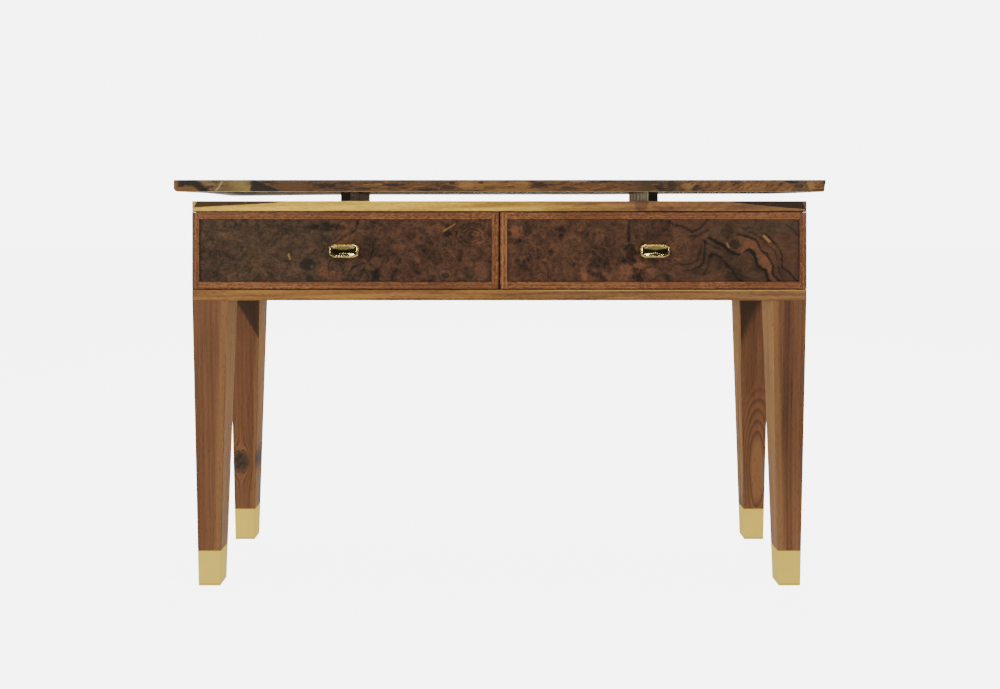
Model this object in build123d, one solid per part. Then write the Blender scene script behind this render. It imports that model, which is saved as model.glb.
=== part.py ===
from build123d import *
import os

# Console table: a slab on two bars, over a two-drawer case on four tapered legs.
# Millimetres. +X is right, -Y is the front, +Z is up, and the origin is on the floor under
# the middle of the table. Right-hand pieces are built and mirrored to the left.

# ---------------------------------------------------------------- driving dimensions
# Case
case_width = 1150.0
case_depth = 298.0
bay_height = 147.0
top_board_thickness = 19.0
bottom_board_thickness = 20.0
side_thickness = 19.0
divider_thickness = 19.0
back_thickness = 12.0
back_rebate = 9.0
closing_gap = 0.8
board_arris = 0.8

# Legs and ferrules. The insets are how far a leg's faces taper in from top to floor.
leg_height = 537.0
leg_top_width = 66.0
leg_outer_inset = 9.0
leg_inner_inset = 16.0
leg_arris = 1.5
ferrule_height = 66.0
ferrule_wall = 1.6
ferrule_base = 2.0

# Slab and the bars that hold it off the case
slab_thickness = 22.0
slab_end_overhang = 27.5
slab_side_overhang = 26.0
slab_left_round = 8.0
slab_right_undercut = 3.0
slab_arris = 1.5
bar_width = 18.0
bar_height = 17.0
bar_length = 260.0
bar_spacing = 582.0

# Drawer fronts: four frame pieces around a panel whose tongue sits in their grooves
front_thickness = 20.0
front_edge_gap = 2.0
front_centre_gap = 3.0
frame_width = 13.0
frame_arris = 0.5
panel_recess = 3.0
panel_seam = 0.3
tongue_length = 5.0
tongue_thickness = 6.0
tongue_fit = 0.1

# Drawer boxes
box_wall = 12.0
box_lift = 8.0
box_headroom = 14.0
box_back_gap = 16.0
box_side_gap = 2.0
floor_thickness = 6.0
floor_height = 10.0
floor_tongue = 5.0

# Hardwood runners, which the boxes' grooves ride on
runner_height = 16.0
runner_reach = 5.5
runner_top_gap = 0.3
runner_bottom_gap = 0.5
runner_face_gap = 0.5
groove_lip = 14.0
runner_end_gap = 1.0
runner_back_gap = 12.0

# Pulls: an eight-sided head, dished in front, on a narrower neck
pull_width = 54.0
pull_height = 25.5
pull_corner_run = 8.5
pull_corner_rise = 4.2
pull_neck_width = 40.0
pull_neck_height = 12.0
pull_neck_length = 13.0
pull_flare_length = 5.0
pull_rim_length = 3.0
pull_bevel = 3.0
pull_dish_depth = 1.6
pull_dish_length_radius = 130.0
pull_dish_height_radius = 30.0

# Fastenings
screw_fit = 0.05
slab_screw_radius = 2.5
slab_screw_bite = 12.0
slab_screw_pitch = 90.0
back_screw_radius = 1.75
back_screw_length = 32.0
back_screw_edge = 24.0
runner_screw_radius = 1.75
runner_screw_tip_gap = 3.0
runner_screw_edge = 25.0
front_screw_radius = 2.0
front_screw_bite = 12.0
front_screw_edge = 60.0
front_screw_rise = 28.0
pull_screw_radius = 2.0
pull_screw_head_radius = 4.0
pull_screw_head_height = 2.6
pull_screw_bite = 8.0
pull_screw_pitch = 28.0
dowel_radius = 4.0
dowel_length = 30.0
dowel_board_depth = 12.0
dowel_end_gap = 0.5
dowel_setback = 60.0
pin_radius = 2.5
pin_length = 32.0
pin_edge = 28.0
bolt_radius = 4.0
bolt_head_radius = 6.5
bolt_head_height = 5.0
bolt_socket_radius = 2.9
bolt_bite = 24.0
bolt_pitch = 36.0
bolt_end_gap = 3.0
washer_radius = 8.5
washer_thickness = 1.6
washer_gap = 0.5
insert_radius = 6.0
insert_length = 20.0
insert_sink = 1.0

# ---------------------------------------------------------------- faces and levels
end_face = case_width / 2
front_face = -case_depth / 2
back_face = case_depth / 2
bay_floor = leg_height + bottom_board_thickness
bay_ceiling = bay_floor + bay_height
case_top = bay_ceiling + top_board_thickness
slab_underside = case_top + bar_height
slab_top = slab_underside + slab_thickness
slab_end = end_face + slab_end_overhang
slab_side = case_depth / 2 + slab_side_overhang

side_face = end_face - side_thickness
divider_face = divider_thickness / 2
front_rear = front_face + front_thickness
upright_front = front_rear + closing_gap
back_panel_face = back_face - back_thickness

frame_inner_end = front_centre_gap / 2
frame_bottom = bay_floor + front_edge_gap
frame_top = bay_ceiling - front_edge_gap
front_middle = (frame_inner_end + end_face) / 2
front_level = (frame_bottom + frame_top) / 2
panel_face = front_face + panel_recess
tongue_front = (panel_face + front_rear - tongue_thickness) / 2
tongue_rear = tongue_front + tongue_thickness

box_inner_face = divider_face + box_side_gap
box_outer_face = side_face - box_side_gap
box_back_face = back_panel_face - box_back_gap
box_bottom = bay_floor + box_lift
box_top = bay_ceiling - box_headroom
box_front_inside = front_rear + box_wall
box_back_inside = box_back_face - box_wall
floor_underside = box_bottom + floor_height
floor_top = floor_underside + floor_thickness

runner_thickness = box_side_gap + runner_reach
runner_level = (box_bottom + box_top) / 2
runner_underside = runner_level - runner_height / 2
runner_top = runner_level + runner_height / 2
groove_front = front_rear + groove_lip
runner_front = groove_front + runner_end_gap
runner_rear = back_panel_face - runner_back_gap
runner_screw_length = runner_thickness + (divider_thickness - runner_screw_tip_gap) / 2

bar_middle = bar_spacing / 2
leg_middle_x = end_face - leg_top_width / 2
leg_middle_y = back_face - leg_top_width / 2
bolt_seat = bay_floor - bolt_head_height - washer_gap
bolt_tip = leg_height - bolt_bite

UP = (0, 0, 1)
DOWN = (0, 0, -1)
FORWARD = (0, -1, 0)
RIGHT = (1, 0, 0)
LEFT = (-1, 0, 0)
FROM_START = (Align.CENTER, Align.CENTER, Align.MIN)


# ---------------------------------------------------------------- shapes and fastenings
def block(x, y, z):
    """Box between a low and a high value along each axis."""
    spans = (x, y, z)
    size = [high - low for low, high in spans]
    middle = [(low + high) / 2 for low, high in spans]
    return Pos(*middle) * Box(*size)


def rod(start, direction, radius, length):
    """Round bar from a start point along a direction."""
    return Plane(origin=start, z_dir=direction) * Cylinder(radius, length, align=FROM_START)


def wood_screw(seat, direction, radius, length, spare=0.0):
    """Countersunk screw, flush at its seat. A spare radius turns it into its own hole."""
    head = Cone(2 * radius + spare, radius + spare, radius, align=FROM_START)
    return Plane(origin=seat, z_dir=direction) * head + rod(seat, direction, radius + spare, length + spare)


def mirrored(piece):
    """The left-hand twin of a right-hand piece."""
    return mirror(piece, about=Plane.YZ)


def both_sides(pieces):
    """Right-hand pieces together with their left-hand twins."""
    return pieces + [mirrored(piece) for piece in pieces]


def save(name, pieces):
    """Write one node, in which each piece stays a solid of its own."""
    solids = [solid for piece in pieces for solid in piece.solids()]
    export_step(Compound(solids), f"parts/{name}.step")


# ---------------------------------------------------------------- fastenings in their places
def slab_screws(spare=0.0):
    """Screws up through the top board and the right-hand bar into the slab."""
    length = slab_underside + slab_screw_bite - bay_ceiling
    rows = (-slab_screw_pitch, 0, slab_screw_pitch)
    return [wood_screw((bar_middle, y, bay_ceiling), UP, slab_screw_radius, length, spare) for y in rows]


def back_screws(x, spare=0.0):
    """Screws through the back panel into the upright that stands at x."""
    levels = (bay_floor + back_screw_edge, (bay_floor + bay_ceiling) / 2, bay_ceiling - back_screw_edge)
    seats = [(x, back_face, z) for z in levels]
    return [wood_screw(seat, FORWARD, back_screw_radius, back_screw_length, spare) for seat in seats]


def runner_screws(face, direction, spare=0.0):
    """Screws through a runner into the upright behind it."""
    rows = (runner_front + runner_screw_edge, (runner_front + runner_rear) / 2, runner_rear - runner_screw_edge)
    seats = [(face, y, runner_level) for y in rows]
    return [wood_screw(seat, direction, runner_screw_radius, runner_screw_length, spare) for seat in seats]


def side_runner_screws(spare=0.0):
    """Screws that hold the runner on the right-hand side panel."""
    return runner_screws(side_face - runner_thickness, RIGHT, spare)


def divider_runner_screws(spare=0.0):
    """Screws that hold the runner on the divider's right-hand face."""
    return runner_screws(divider_face + runner_thickness, LEFT, spare)


def case_dowels(x, spare=0.0, end_spare=0.0):
    """Dowels between both boards and the upright whose middle is at x."""
    dowels = []
    for y in (front_face + dowel_setback, back_face - dowel_setback):
        for start, direction in ((bay_floor - dowel_board_depth, UP), (bay_ceiling + dowel_board_depth, DOWN)):
            inward = direction[2]
            origin = (x, y, start - inward * end_spare)
            dowels.append(rod(origin, direction, dowel_radius + spare, dowel_length + 2 * end_spare))
    return dowels


def box_pins(spare=0.0):
    """Pins through the box sides into the ends of the box front and box back."""
    pins = []
    for y in (front_rear + box_wall / 2, box_back_face - box_wall / 2):
        for z in (box_bottom + pin_edge, box_top - pin_edge):
            pins.append(rod((box_outer_face, y, z), LEFT, pin_radius + spare, pin_length + spare))
            pins.append(rod((box_inner_face, y, z), RIGHT, pin_radius + spare, pin_length + spare))
    return pins


def front_screws(spare=0.0):
    """Screws from inside the box into the back of the drawer's front panel."""
    columns = (box_inner_face + front_screw_edge, box_outer_face - front_screw_edge)
    levels = (box_bottom + front_screw_rise, box_top - front_screw_rise)
    seats = [(x, box_front_inside, z) for x in columns for z in levels]
    length = box_wall + front_screw_bite
    return [wood_screw(seat, FORWARD, front_screw_radius, length, spare) for seat in seats]


def pull_screws(spare=0.0):
    """Pan-head screws from inside the box into the pull's neck."""
    screws = []
    length = box_front_inside - panel_face + pull_screw_bite
    for x in (front_middle - pull_screw_pitch / 2, front_middle + pull_screw_pitch / 2):
        seat = (x, box_front_inside, front_level)
        shank = rod(seat, FORWARD, pull_screw_radius + spare, length + spare)
        head = rod(seat, (0, 1, 0), pull_screw_head_radius, pull_screw_head_height)
        screws.append(shank + head)
    return screws


def bolt_spots():
    """X and Y of the two bolts in the right back leg."""
    return [(leg_middle_x, leg_middle_y - bolt_pitch / 2), (leg_middle_x, leg_middle_y + bolt_pitch / 2)]


def four_corners(pieces):
    """Right back pieces with their twins at the other three corners."""
    backs = both_sides(pieces)
    return backs + [mirror(piece, about=Plane.XZ) for piece in backs]


def leg_bolts():
    """Socket-head bolts down through the bottom board into a leg."""
    bolts = []
    for x, y in bolt_spots():
        shank = rod((x, y, bolt_seat), DOWN, bolt_radius, bolt_seat - bolt_tip)
        head = rod((x, y, bolt_seat), UP, bolt_head_radius, bolt_head_height)
        socket = extrude(RegularPolygon(bolt_socket_radius, 6), amount=bolt_head_height)
        bolts.append(shank + head - Pos(x, y, bolt_seat + bolt_head_height / 2) * socket)
    return bolts


def leg_washers():
    """Washers under the bolts' heads, at the bottom of their recesses."""
    washers = []
    for x, y in bolt_spots():
        disc = rod((x, y, bolt_seat), DOWN, washer_radius, washer_thickness)
        washers.append(disc - rod((x, y, bolt_seat), DOWN, bolt_radius + screw_fit, washer_thickness))
    return washers


def leg_inserts():
    """Threaded inserts in the top of a leg."""
    inserts = []
    for x, y in bolt_spots():
        top = (x, y, leg_height - insert_sink)
        body = rod(top, DOWN, insert_radius, insert_length)
        inserts.append(body - rod(top, DOWN, bolt_radius + screw_fit, insert_length))
    return inserts


# ---------------------------------------------------------------- slab, bars and case
def top_slab():
    """Slab with a rounded left end and an undercut right end."""
    outline = Polygon(
        (-slab_end, slab_underside),
        (slab_end - slab_right_undercut, slab_underside),
        (slab_end, slab_top),
        (-slab_end, slab_top),
        align=None,
    )
    slab = extrude(Plane.XZ * outline, amount=slab_side, both=True)
    slab = fillet(slab.edges().filter_by(Axis.Y).group_by(Axis.X)[0], slab_left_round)
    long_edges = slab.edges().filter_by(Axis.X)
    slab = fillet(long_edges, slab_arris)
    return slab - both_sides(slab_screws(screw_fit))


def spacer_bar():
    """Bar from front to back that holds the slab off the case."""
    x = (bar_middle - bar_width / 2, bar_middle + bar_width / 2)
    bar = block(x, (-bar_length / 2, bar_length / 2), (case_top, slab_underside))
    return bar - slab_screws(screw_fit)


def dowel_holes():
    """Holes for the case dowels at both ends of all three uprights."""
    side_middle = end_face - side_thickness / 2
    return both_sides(case_dowels(side_middle, screw_fit, dowel_end_gap)) + case_dowels(0, screw_fit, dowel_end_gap)


def full_board(z):
    """Board over the whole case, with its edges eased."""
    board = block((-end_face, end_face), (front_face, back_face), z)
    return fillet(board.edges(), board_arris)


def top_board():
    """Top of the case, drilled for the slab's screws and the dowels."""
    board = full_board((bay_ceiling, case_top))
    return board - both_sides(slab_screws(screw_fit)) - dowel_holes()


def bottom_board():
    """Bottom of the case, with a recess for each bolt's head and washer."""
    cuts = []
    for x, y in bolt_spots():
        seat = (x, y, bolt_seat - washer_thickness)
        cuts.append(rod(seat, UP, washer_radius + washer_gap, bay_floor - seat[2]))
        cuts.append(rod(seat, DOWN, bolt_radius + screw_fit, seat[2] - leg_height))
    return full_board((leg_height, bay_floor)) - four_corners(cuts) - dowel_holes()


def side_panel():
    """Right-hand end of the case, rebated for the back panel."""
    panel = block((side_face, end_face), (upright_front, back_face), (bay_floor, bay_ceiling))
    rebate = block((side_face, side_face + back_rebate), (back_panel_face, back_face), (bay_floor, bay_ceiling))
    drilled = side_runner_screws(screw_fit) + back_screws(side_face + back_rebate / 2, screw_fit)
    return panel - rebate - drilled - dowel_holes()


def centre_divider():
    """Upright between the two drawer bays."""
    divider = block((-divider_face, divider_face), (upright_front, back_panel_face), (bay_floor, bay_ceiling))
    return divider - both_sides(divider_runner_screws(screw_fit)) - back_screws(0, screw_fit) - dowel_holes()


def all_back_screws(spare=0.0):
    """Screws through the back panel into both side panels and the divider."""
    return both_sides(back_screws(side_face + back_rebate / 2, spare)) + back_screws(0, spare)


def back_panel():
    """Panel that closes the case between its boards."""
    half_width = side_face + back_rebate
    panel = block((-half_width, half_width), (back_panel_face, back_face), (bay_floor, bay_ceiling))
    return panel - all_back_screws(screw_fit)


def side_runner():
    """Runner on the right-hand side panel."""
    x = (side_face - runner_thickness, side_face)
    return block(x, (runner_front, runner_rear), (runner_underside, runner_top)) - side_runner_screws(screw_fit)


def divider_runner():
    """Runner on the divider's right-hand face."""
    x = (divider_face, divider_face + runner_thickness)
    return block(x, (runner_front, runner_rear), (runner_underside, runner_top)) - divider_runner_screws(screw_fit)


# ---------------------------------------------------------------- legs and ferrules
def taper_outline(corner, low, high, wall):
    """A leg's side view between two heights, a wall's thickness inside its faces."""
    points = []
    for z in (low, high):
        share = 1 - z / leg_height
        outer = corner - leg_outer_inset * share - wall
        inner = corner - leg_top_width + leg_inner_inset * share + wall
        points.append([(outer, z), (inner, z)])
    return Polygon(*points[0], *reversed(points[1]), align=None)


def tapered_post(low, high, wall=0.0):
    """Square post under the case's right back corner, tapered alike in both views."""
    reach = case_width + case_depth
    from_front = extrude(Plane.XZ * taper_outline(end_face, low, high, wall), amount=reach, both=True)
    from_side = extrude(Plane.YZ * taper_outline(back_face, low, high, wall), amount=reach, both=True)
    return from_front & from_side


def eased_post(low, high):
    """Tapered post whose four long edges are rounded."""
    post = tapered_post(low, high)
    long_edges = [edge for edge in post.edges() if abs(edge.tangent_at(0).Z) > 0.9]
    return fillet(long_edges, leg_arris)


def leg():
    """Right back leg, with a foot that is rebated for the ferrule."""
    wood = eased_post(ferrule_height, leg_height) + tapered_post(ferrule_base, ferrule_height, ferrule_wall)
    for x, y in bolt_spots():
        top = (x, y, leg_height)
        wood -= rod(top, DOWN, insert_radius + screw_fit, insert_sink + insert_length)
        wood -= rod(top, DOWN, bolt_radius + screw_fit, bolt_bite + bolt_end_gap)
    return wood


def ferrule():
    """Brass cup over the right back leg's foot, flush with the leg's faces."""
    return eased_post(0, ferrule_height) - tapered_post(ferrule_base, ferrule_height, ferrule_wall)


# ---------------------------------------------------------------- drawer front
def tongue_band():
    """Depth range of the grooves that take the tongues."""
    return (tongue_front - tongue_fit, tongue_rear + tongue_fit)


def ease_front(piece, axis):
    """Round the two front edges that run along a frame piece."""
    edges = piece.edges().filter_by(axis).group_by(Axis.Y)[0]
    return fillet(edges, frame_arris)


def stile(outer):
    """Upright frame piece at the drawer's outer or inner end."""
    x = (end_face - frame_width, end_face) if outer else (frame_inner_end, frame_inner_end + frame_width)
    wood = ease_front(block(x, (front_face, front_rear), (frame_bottom, frame_top)), Axis.Z)
    depth = tongue_length + tongue_fit
    groove = (x[0], x[0] + depth) if outer else (x[1] - depth, x[1])
    return wood - block(groove, tongue_band(), (frame_bottom, frame_top))


def rail(top):
    """Level frame piece between the stiles, with a tenon into each."""
    x = (frame_inner_end + frame_width, end_face - frame_width)
    z = (frame_top - frame_width, frame_top) if top else (frame_bottom, frame_bottom + frame_width)
    wood = ease_front(block(x, (front_face, front_rear), z), Axis.X)
    tenons = (x[0] - tongue_length, x[1] + tongue_length)
    wood += block(tenons, (tongue_front, tongue_rear), z)
    depth = tongue_length + tongue_fit
    groove = (z[0], z[0] + depth) if top else (z[1] - depth, z[1])
    return wood - block(tenons, tongue_band(), groove)


def burl_panel():
    """Figured panel inside the frame, with a tongue on all four edges."""
    x = (frame_inner_end + frame_width + panel_seam, end_face - frame_width - panel_seam)
    z = (frame_bottom + frame_width + panel_seam, frame_top - frame_width - panel_seam)
    reach = panel_seam + tongue_length
    tongue_x = (x[0] - reach, x[1] + reach)
    tongue_z = (z[0] - reach, z[1] + reach)
    panel = block(x, (panel_face, front_rear), z) + block(tongue_x, (tongue_front, tongue_rear), tongue_z)
    return panel - front_screws(screw_fit) - pull_screws(screw_fit)


def pull_outline(width, height, distance):
    """Long octagon, at a distance in front of the panel."""
    half_width = width / 2
    half_height = height / 2
    flat = half_width - pull_corner_run
    end = half_height - pull_corner_rise
    right = [(flat, -half_height), (half_width, -end), (half_width, end), (flat, half_height)]
    left = [(-x, z) for x, z in reversed(right)]
    middle = (front_middle, panel_face - distance, front_level)
    return Plane(origin=middle, x_dir=RIGHT, z_dir=FORWARD) * Polygon(*right, *left, align=None)


def pull():
    """Drawer pull: neck, flared back, straight rim and bevelled, dished head."""
    rim_back = pull_neck_length + pull_flare_length
    rim_front = rim_back + pull_rim_length
    tip = rim_front + pull_bevel
    root = pull_outline(pull_neck_width, pull_neck_height, 0)
    neck_end = pull_outline(pull_neck_width, pull_neck_height, pull_neck_length)
    rim_start = pull_outline(pull_width, pull_height, rim_back)
    rim_end = pull_outline(pull_width, pull_height, rim_front)
    face = pull_outline(pull_width - 2 * pull_bevel, pull_height - 2 * pull_bevel, tip)
    body = loft([root, neck_end], ruled=True) + loft([neck_end, rim_start], ruled=True)
    body += loft([rim_start, rim_end], ruled=True) + loft([rim_end, face], ruled=True)
    ring_radius = pull_dish_length_radius - pull_dish_height_radius
    dish_middle = panel_face - tip + pull_dish_depth - pull_dish_length_radius
    dish = Pos(front_middle, dish_middle, front_level) * Torus(ring_radius, pull_dish_height_radius)
    return body - dish - pull_screws(screw_fit)


# ---------------------------------------------------------------- drawer box
def floor_slot():
    """Groove that runs round the inside of the box for its floor."""
    x = (box_inner_face + box_wall - floor_tongue - tongue_fit, box_outer_face - box_wall + floor_tongue + tongue_fit)
    y = (box_front_inside - floor_tongue - tongue_fit, box_back_inside + floor_tongue + tongue_fit)
    return block(x, y, (floor_underside - tongue_fit, floor_top + tongue_fit))


def box_side(outer):
    """Side of the box, grooved outside for its runner and inside for the floor."""
    x = (box_outer_face - box_wall, box_outer_face) if outer else (box_inner_face, box_inner_face + box_wall)
    depth = runner_reach + runner_face_gap
    groove = (x[1] - depth, x[1]) if outer else (x[0], x[0] + depth)
    side = block(x, (front_rear, box_back_face), (box_bottom, box_top))
    run = block(
        groove,
        (groove_front, box_back_face),
        (runner_underside - runner_bottom_gap, runner_top + runner_top_gap),
    )
    return side - run - floor_slot() - box_pins(screw_fit)


def box_end(y):
    """Front or back of the box, between its sides."""
    x = (box_inner_face + box_wall, box_outer_face - box_wall)
    return block(x, y, (box_bottom, box_top)) - floor_slot() - box_pins(screw_fit)


def box_front():
    """Front of the box, drilled for the screws of the drawer front and the pull."""
    return box_end((front_rear, box_front_inside)) - front_screws(screw_fit) - pull_screws(screw_fit)


def box_floor():
    """Floor of the box, held in the groove on all four sides."""
    x = (box_inner_face + box_wall - floor_tongue, box_outer_face - box_wall + floor_tongue)
    y = (box_front_inside - floor_tongue, box_back_inside + floor_tongue)
    return block(x, y, (floor_underside, floor_top))


def drawer_pieces():
    """Every piece of the right-hand drawer, by name."""
    return {
        "top_rail": [rail(True)],
        "bottom_rail": [rail(False)],
        "stile_outer": [stile(True)],
        "stile_inner": [stile(False)],
        "burl_panel": [burl_panel()],
        "box_front": [box_front()],
        "box_back": [box_end((box_back_inside, box_back_face))],
        "box_side_outer": [box_side(True)],
        "box_side_inner": [box_side(False)],
        "box_floor": [box_floor()],
        "box_pins": box_pins(),
        "front_screws": front_screws(),
        "pull": [pull()],
        "pull_screws": pull_screws(),
    }


# ---------------------------------------------------------------- write every node
os.makedirs("parts", exist_ok=True)

save("top_slab", [top_slab()])
save("slab_screws", both_sides(slab_screws()))
save("top_board", [top_board()])
save("bottom_board", [bottom_board()])
save("centre_divider", [centre_divider()])
save("back_panel", [back_panel()])
save("back_screws", all_back_screws())
save("case_dowels", both_sides(case_dowels(end_face - side_thickness / 2)) + case_dowels(0))
save("runner_screws", both_sides(side_runner_screws() + divider_runner_screws()))
save("leg_bolts", four_corners(leg_bolts()))
save("leg_washers", four_corners(leg_washers()))
save("leg_inserts", four_corners(leg_inserts()))

one_per_side = {
    "spacer_bar": spacer_bar(),
    "side_panel": side_panel(),
    "side_runner": side_runner(),
    "divider_runner": divider_runner(),
}
for name, piece in one_per_side.items():
    save(f"{name}_right", [piece])
    save(f"{name}_left", [mirrored(piece)])

for name, piece in (("leg", leg()), ("ferrule", ferrule())):
    corners = four_corners([piece])
    for place, twin in zip(("back_right", "back_left", "front_right", "front_left"), corners):
        save(f"{name}_{place}", [twin])

for name, pieces in drawer_pieces().items():
    save(f"{name}_right", pieces)
    save(f"{name}_left", [mirrored(piece) for piece in pieces])
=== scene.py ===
import math
import bpy
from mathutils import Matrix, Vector, noise


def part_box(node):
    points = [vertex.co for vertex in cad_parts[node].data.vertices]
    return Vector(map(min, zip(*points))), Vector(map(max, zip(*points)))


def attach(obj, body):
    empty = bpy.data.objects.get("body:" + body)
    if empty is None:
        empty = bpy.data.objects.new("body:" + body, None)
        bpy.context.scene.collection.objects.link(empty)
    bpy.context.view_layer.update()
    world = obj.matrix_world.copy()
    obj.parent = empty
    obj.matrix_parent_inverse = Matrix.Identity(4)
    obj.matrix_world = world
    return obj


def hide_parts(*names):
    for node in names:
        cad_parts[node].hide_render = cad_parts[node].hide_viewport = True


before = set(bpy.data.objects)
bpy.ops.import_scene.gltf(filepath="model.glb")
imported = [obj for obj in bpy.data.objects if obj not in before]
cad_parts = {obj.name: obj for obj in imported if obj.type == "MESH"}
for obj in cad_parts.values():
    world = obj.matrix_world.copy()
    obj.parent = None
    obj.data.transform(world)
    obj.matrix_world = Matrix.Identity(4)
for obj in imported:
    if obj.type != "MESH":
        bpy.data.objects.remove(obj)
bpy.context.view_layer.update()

# ---------------------------------------------------------------- measures, in metres
MM = 0.001
SIDES = {"left": -1, "right": 1}
slab_low, slab_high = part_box("top_slab")
board_low, board_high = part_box("top_board")
base_low, base_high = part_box("bottom_board")
case_front = board_low.y
case_end = board_high.x
leg_height = base_low.z
leg_top_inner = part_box("leg_front_right")[0].x
foot_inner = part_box("ferrule_front_right")[0].x
ferrule_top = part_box("ferrule_front_right")[1].z


# ---------------------------------------------------------------- finishes: the bench
class Strand:
    """One output among a bench's nodes. Arithmetic on it adds Math nodes."""

    def __init__(self, bench, socket):
        self.bench = bench
        self.socket = socket

    def _reckon(self, operation, first, second=0.0):
        return self.bench.add("ShaderNodeMath", {"operation": operation}, {0: first, 1: second})

    def __add__(self, other):
        return self._reckon("ADD", self, other)

    __radd__ = __add__

    def __sub__(self, other):
        return self._reckon("SUBTRACT", self, other)

    def __rsub__(self, other):
        return self._reckon("SUBTRACT", other, self)

    def __mul__(self, other):
        return self._reckon("MULTIPLY", self, other)

    __rmul__ = __mul__

    def __truediv__(self, other):
        return self._reckon("DIVIDE", self, other)

    def __rtruediv__(self, other):
        return self._reckon("DIVIDE", other, self)

    def __pow__(self, other):
        return self._reckon("POWER", self, other)

    def __abs__(self):
        return self._reckon("ABSOLUTE", self)

    def fraction(self):
        return self._reckon("FRACT", self)

    def wave(self):
        return self._reckon("SINE", self)

    def most(self, other):
        return self._reckon("MAXIMUM", self, other)


class Bench:
    """A tree of nodes, and the ways to add to it."""

    def __init__(self, tree):
        self.tree = tree

    def add(self, kind, settings=None, inputs=None, output=0):
        """Add a node. Its settings come first, then its sockets' values and links."""
        node = self.tree.nodes.new(kind)
        for name, value in (settings or {}).items():
            if name == "stops":
                self._set_stops(node.color_ramp, value)
            elif name == "bends":
                self._set_bends(node.mapping, value)
            else:
                setattr(node, name, value)
        for name, value in (inputs or {}).items():
            if isinstance(value, Strand):
                self.tree.links.new(value.socket, node.inputs[name])
            else:
                node.inputs[name].default_value = value
        return Strand(self, node.outputs[output])

    def _set_stops(self, ramp, stops):
        while len(ramp.elements) < len(stops):
            ramp.elements.new(1.0)
        for element, (position, colour) in zip(ramp.elements, stops):
            element.position = position
            element.color = (*colour, 1.0)

    def _set_bends(self, mapping, bends):
        curve = mapping.curves[0]
        while len(curve.points) < len(bends):
            curve.points.new(0.5, 0.5)
        for point, (position, height) in zip(curve.points, bends):
            point.location = (position, height)
            point.handle_type = "VECTOR"
        mapping.update()

    def parts(self, vector):
        node = self.add("ShaderNodeSeparateXYZ", inputs={0: vector}).socket.node
        return [Strand(self, output) for output in node.outputs]

    def vector(self, x, y, z):
        return self.add("ShaderNodeCombineXYZ", inputs={0: x, 1: y, 2: z})

    def moved(self, vector, amount):
        """A vector shifted by a fixed amount or by another vector."""
        return self.add("ShaderNodeVectorMath", {"operation": "ADD"}, {0: vector, 1: amount})

    def stretched(self, vector, amount):
        """A vector multiplied along each axis."""
        return self.add("ShaderNodeVectorMath", {"operation": "MULTIPLY"}, {0: vector, 1: amount})

    def along(self, vector, direction):
        """How far a vector reaches in a direction."""
        settings = {"operation": "DOT_PRODUCT"}
        return self.add("ShaderNodeVectorMath", settings, {0: vector, 1: direction}, "Value")

    def length(self, vector):
        return self.add("ShaderNodeVectorMath", {"operation": "LENGTH"}, {0: vector}, "Value")

    def reach(self, place, x, z, half_width, half_height):
        """How far a place is from (x, z), counted in half widths and half heights."""
        away = self.moved(place, (-x, 0.0, -z))
        return self.length(self.stretched(away, (1 / half_width, 0.0, 1 / half_height)))

    def cloud(self, vector, scale, detail=2.0, roughness=0.5, twist=0.0):
        """Soft noise, from about 0.2 to 0.8."""
        inputs = {"Vector": vector, "Scale": scale, "Detail": detail}
        inputs |= {"Roughness": roughness, "Distortion": twist}
        return self.add("ShaderNodeTexNoise", {"noise_dimensions": "3D"}, inputs, "Fac")

    def weave(self, x, y, z, detail=2.0, roughness=0.5, twist=0.0):
        """Soft noise over a place that is given by its three parts."""
        return self.cloud(self.vector(x, y, z), 1.0, detail, roughness, twist)

    def drift(self, vector, scale, amount, detail=2.0):
        """A vector pushed about by coloured noise."""
        inputs = {"Vector": vector, "Scale": scale, "Detail": detail}
        push = self.add("ShaderNodeTexNoise", {"noise_dimensions": "3D"}, inputs, "Color")
        centred = self.moved(push, (-0.5, -0.5, -0.5))
        return self.moved(vector, self.stretched(centred, (amount, amount, amount)))

    def cells(self, vector, scale):
        """Distance to the nearest of many scattered points."""
        inputs = {"Vector": vector, "Scale": scale}
        return self.add("ShaderNodeTexVoronoi", {"feature": "F1"}, inputs, "Distance")

    def fit(self, value, low, high):
        """Smooth step from 0 to 1 between two values."""
        settings = {"interpolation_type": "SMOOTHSTEP"}
        return self.add("ShaderNodeMapRange", settings, {"Value": value, "From Min": low, "From Max": high})

    def rise(self, value, low, high):
        """Straight slope from 0 to 1 between two values."""
        return self.add("ShaderNodeMapRange", None, {"Value": value, "From Min": low, "From Max": high})

    def ramp(self, value, stops):
        return self.add("ShaderNodeValToRGB", {"stops": stops}, {0: value})

    def mix(self, factor, first, second):
        """Two colours together. A fixed colour may be three numbers."""
        colours = [(*c, 1.0) if isinstance(c, tuple) else c for c in (first, second)]
        return self.add("ShaderNodeMix", {"data_type": "RGBA"}, {0: factor, 6: colours[0], 7: colours[1]}, 2)


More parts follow.
